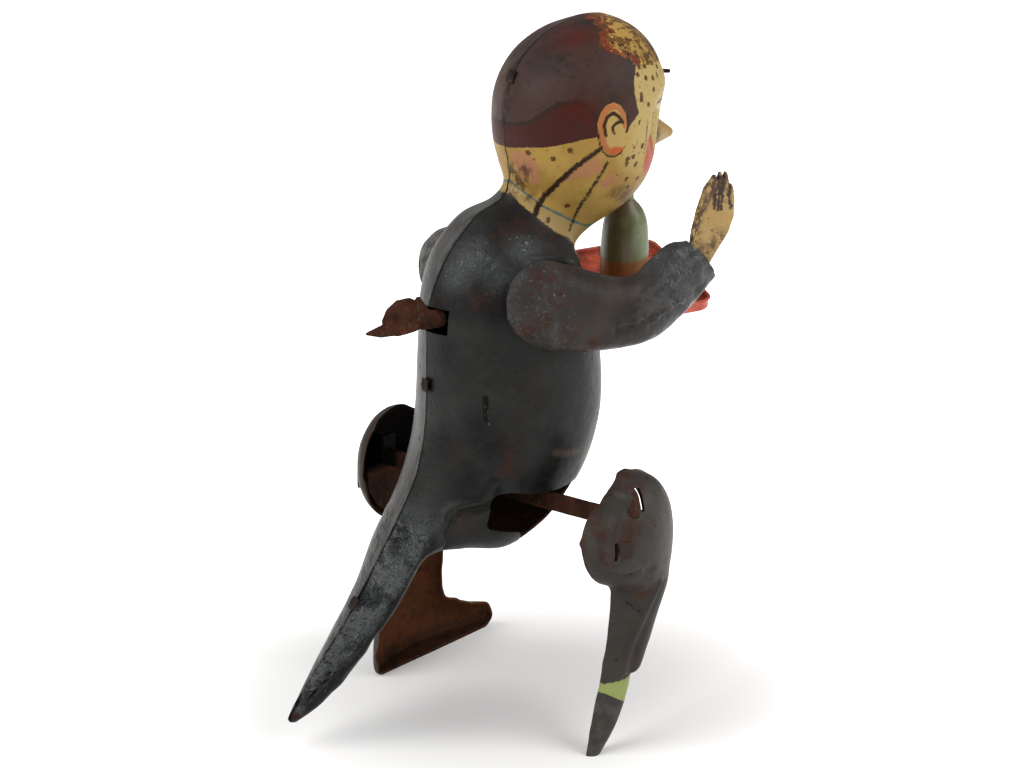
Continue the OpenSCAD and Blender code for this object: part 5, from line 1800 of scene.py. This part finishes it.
@dataclass
class HipStrip(SoftenedBit):
    """The hip strip, with its tongues pressed flat against the legs."""

    MIDDLE = (10.6, 54.0)  # mm, Y and Z of the lower right tongue
    TONGUE_TOP = 58.0  # mm, between the lower and the upper tongues
    TONGUE_X = -38.0  # mm, beyond which only the right tongues lie
    LEFT_REACH = ((57.0, 58.0), (40.2, 42.6))  # mm, Z and the X that the left tongues reach there

    def flap(self, spot: Array) -> Array:
        """Tell which points belong to the lower right tongue."""
        return (spot[:, 0] < self.TONGUE_X - 2.0) & (spot[:, 2] < self.TONGUE_TOP)

    def shape(self, spot: Array) -> Array:
        """Press the right tongues onto the leg, shorten the left ones and round the lower right one's tip.

        Args:
            spot: Drawn places in mm, one row each.

        Returns:
            The moved places.
        """
        table = np.array(RIGHT_LEG_STATIONS)[8:15]
        levels = (table[:, 1] + table[:, 3]) / 2
        rear, front, wide = (np.interp(spot[:, 2], levels, table[:, i]) for i in (0, 2, 4))
        share = (2.0 * spot[:, 1] - rear - front) / (rear - front)
        over = -LEG_RIM - wide * np.sqrt(np.clip(1.0 - share * share, 0.0, 1.0)) - spot[:, 0]
        flush = np.where(spot[:, 2] < self.TONGUE_TOP, 0.35 * np.maximum(over, 0.0) + 0.1, -0.7)
        spot[:, 0] += np.where(spot[:, 0] < self.TONGUE_X, np.maximum(over - flush, 0.0), 0.0)
        spot[:, 0] = np.minimum(spot[:, 0], np.interp(spot[:, 2], *self.LEFT_REACH))
        flap = self.flap(spot)
        mid_y, mid_z = self.MIDDLE
        off_y, off_z = spot[flap, 1] - mid_y, spot[flap, 2] - mid_z
        tip = ramp(-spot[flap, 1], -12.4, -11.0)
        spot[flap, 1] = mid_y + off_y * np.sqrt(1.0 - 0.5 * tip * np.clip(off_z / 2.5, -1.0, 1.0) ** 2)
        spot[flap, 2] = mid_z + off_z * np.sqrt(1.0 - 0.5 * tip * np.clip(off_y / 2.8, -1.0, 1.0) ** 2)
        return spot

    def paint(self, spot: Array) -> dict[str, Array]:
        """Give black painted shade inside the legs and at the lower right tongue's root, an orange painted
        highlight along the edge, and its paint.

        Args:
            spot: Drawn places in mm, one row each.

        Returns:
            The values by name, one for each place.
        """
        wide, flap = np.abs(spot[:, 0]), self.flap(spot)
        ends, inside = ramp(wide, 32.0, 34.5), ramp(-wide, -42.6, -42.0)
        root = flap * ramp(spot[:, 1], 11.5, 12.1)
        # Black painted shade inside the legs and at the lower right tongue's root
        return {"painted_shade": np.maximum(0.97 * ends * inside * ramp(spot[:, 2], 56.3, 57.2), root),
                # An orange painted highlight along the strip's edge inside the legs
                "warm": ends * np.exp(-((spot[:, 2] - 55.9) / 0.5) ** 2), "painted": 0.8 * flap}


@dataclass
class Clockwork:
    """Solids of the movement and the rivets, kept as they are and given their metals."""

    METALS = {"movement_plate_rear": EARED_PLATE, "movement_plate_front": PLATE, "pivot_bridge": PLATE,
              "crank_disc": PLATE, "ratchet_wheel": BRASS, "great_wheel": BRASS, "second_wheel": BRASS,
              "mainspring": SPRING, "rocker_lever": STRIP}

    def dress(self) -> None:
        """Give every solid its metal, also those that a drawn piece stands for."""
        for name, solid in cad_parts.items():
            finish = self.METALS.get(name, STEEL)
            for slot in solid.material_slots:
                slot.material = finish.material()
            if not solid.material_slots:
                solid.data.materials.append(finish.material())
            LOG.info("%s: %s", name, finish.name)


# Studio

@dataclass
class Studio:
    """White floor, two large soft lamps, an even sky and the camera."""

    camera_at: Place = (-0.4185, 0.21833, 0.2194)
    right: Place = (-0.469, -0.883, 0.0)
    ahead: Place = (0.8488, -0.4513, -0.2756)
    lens: float = 70.31
    target: Place = (0.0, 0.0, 0.09)
    skylight: float = 0.37
    # Name, place and width in metres, and watts
    LAMPS = (("left_lamp", (0.05, 0.85, 0.75), 1.0, 8.2), ("right_lamp", (-0.70, -0.55, 0.66), 0.9, 6.6))

    def floor(self) -> None:
        """Lay the floor."""
        sheet = bmesh.new()
        bmesh.ops.create_grid(sheet, x_segments=24, y_segments=24, size=4.0)
        mesh = bpy.data.meshes.new("floor")
        sheet.to_mesh(mesh)
        sheet.free()
        mesh.materials.append(FLOOR.material())
        floor = bpy.data.objects.new("floor", mesh)
        bpy.context.scene.collection.objects.link(floor)

    def lamp(self, name: str, at: Place, size: float, watts: float) -> None:
        """Hang one soft lamp that looks at the figure.

        Args:
            name: Name of the lamp.
            at: Its place in metres.
            size: Its width in metres.
            watts: Its power.
        """
        data = bpy.data.lights.new(name, "AREA")
        data.shape, data.size, data.energy = "DISK", size, watts
        lamp = bpy.data.objects.new(name, data)
        lamp.location = at
        lamp.rotation_euler = (Vector(self.target) - Vector(at)).to_track_quat("-Z", "Y").to_euler()
        bpy.context.scene.collection.objects.link(lamp)

    def sky(self) -> None:
        """Give even light, and plain white where the sky itself is seen."""
        world = bpy.data.worlds.new("sky")
        world.use_nodes = True
        nodes = Nodes(world.node_tree)
        seen = nodes.add("ShaderNodeLightPath", output="Is Camera Ray")
        nodes.feed(world.node_tree.nodes["Background"], {
            "Color": WHITE, "Strength": nodes.levels(self.skylight, [(seen, 1.0)])})
        bpy.context.scene.world = world

    def camera(self) -> None:
        """Stand the camera where the photograph was taken from."""
        data = bpy.data.cameras.new("camera")
        data.lens, data.sensor_width, data.clip_start = self.lens, 36.0, 0.01
        camera = bpy.data.objects.new("camera", data)
        right, ahead = Vector(self.right).normalized(), Vector(self.ahead).normalized()
        up = right.cross(ahead)
        camera.matrix_world = Matrix.Translation(self.camera_at) @ Matrix(
            (right, up, -ahead)).transposed().to_4x4()
        bpy.context.scene.collection.objects.link(camera)
        bpy.context.scene.camera = camera

    def build(self) -> None:
        """Set up the whole studio."""
        bpy.context.scene.view_settings.view_transform = "Standard"
        self.floor()
        self.sky()
        self.camera()
        for lamp in self.LAMPS:
            self.lamp(*lamp)


def main() -> None:
    """Build every piece in order and report it."""
    logging.basicConfig(level=logging.INFO, format="%(name)s %(message)s")
    Studio().build()
    Clockwork().dress()
    wider = tuple((*s[:4], s[4] + LEFT_SHOULDER_GAIN.get(i, 0.0)) for i, s in enumerate(BODY_STATIONS))
    BodyHalf("body_shell_right", "figure", Loft(BODY_STATIONS, RIGHT, 0.0, 0.55, 150), COAT, inset=11).build()
    BodyHalf("body_shell_left", "figure", Loft(wider, LEFT, 0.0, 0.8, 90), COAT_PALER_AND_LIT, inset=11).build()
    Leg("right_leg_shell", "legs", Loft(RIGHT_LEG_STATIONS, RIGHT, -LEG_RIM), TROUSERS, STRIDE).build()
    Leg("left_leg_shell", "legs", Loft(LEFT_LEG_STATIONS, LEFT, LEG_RIM), TROUSERS, STRIDE).build()
    arms = ((RIGHT, "right", FIGURE, SLEEVE), (LEFT, "left", LOWERED, SLEEVE_PALER_AND_LIT))
    for side, word, stance, finish in arms:
        for part, turn, depth in (("outer", side, 5.6), ("inner", -side, 3.4)):
            stations = tuple((*s[:4], s[4] * depth) for s in SLEEVE_STATIONS)
            loft = Loft(stations, turn, side * SLEEVE_RIM, 0.6, 56)
            Sleeve(f"{word}_sleeve_{part}", f"{word}_arm", loft, finish, stance, True).build()
    Nose().build()
    TrayAndBottle().build()
    FlatHand("left_hand", "left_arm", "flesh", FLESH, 0.26, 4, 0.04, 63).build()
    Key("winding_key", "key", "rusty_tin", KEY_IRON, 0.24, 6, 0.07, 65).build()
    SeamTabs("seam_tabs", "figure", "coat", TAB_TIN, 0.10, 9, 0.10, 69).build()
    RaisedHand("right_hand", "right_arm", "flesh", FLESH, 0.24, 5, 0.05, 61).build()
    HipStrip("hip_crossbar", "legs", "rusty_tin", STRIP, 0.28, 3, 0.05, 67, STRIDE).build()


if __name__ == "__main__":
    main()
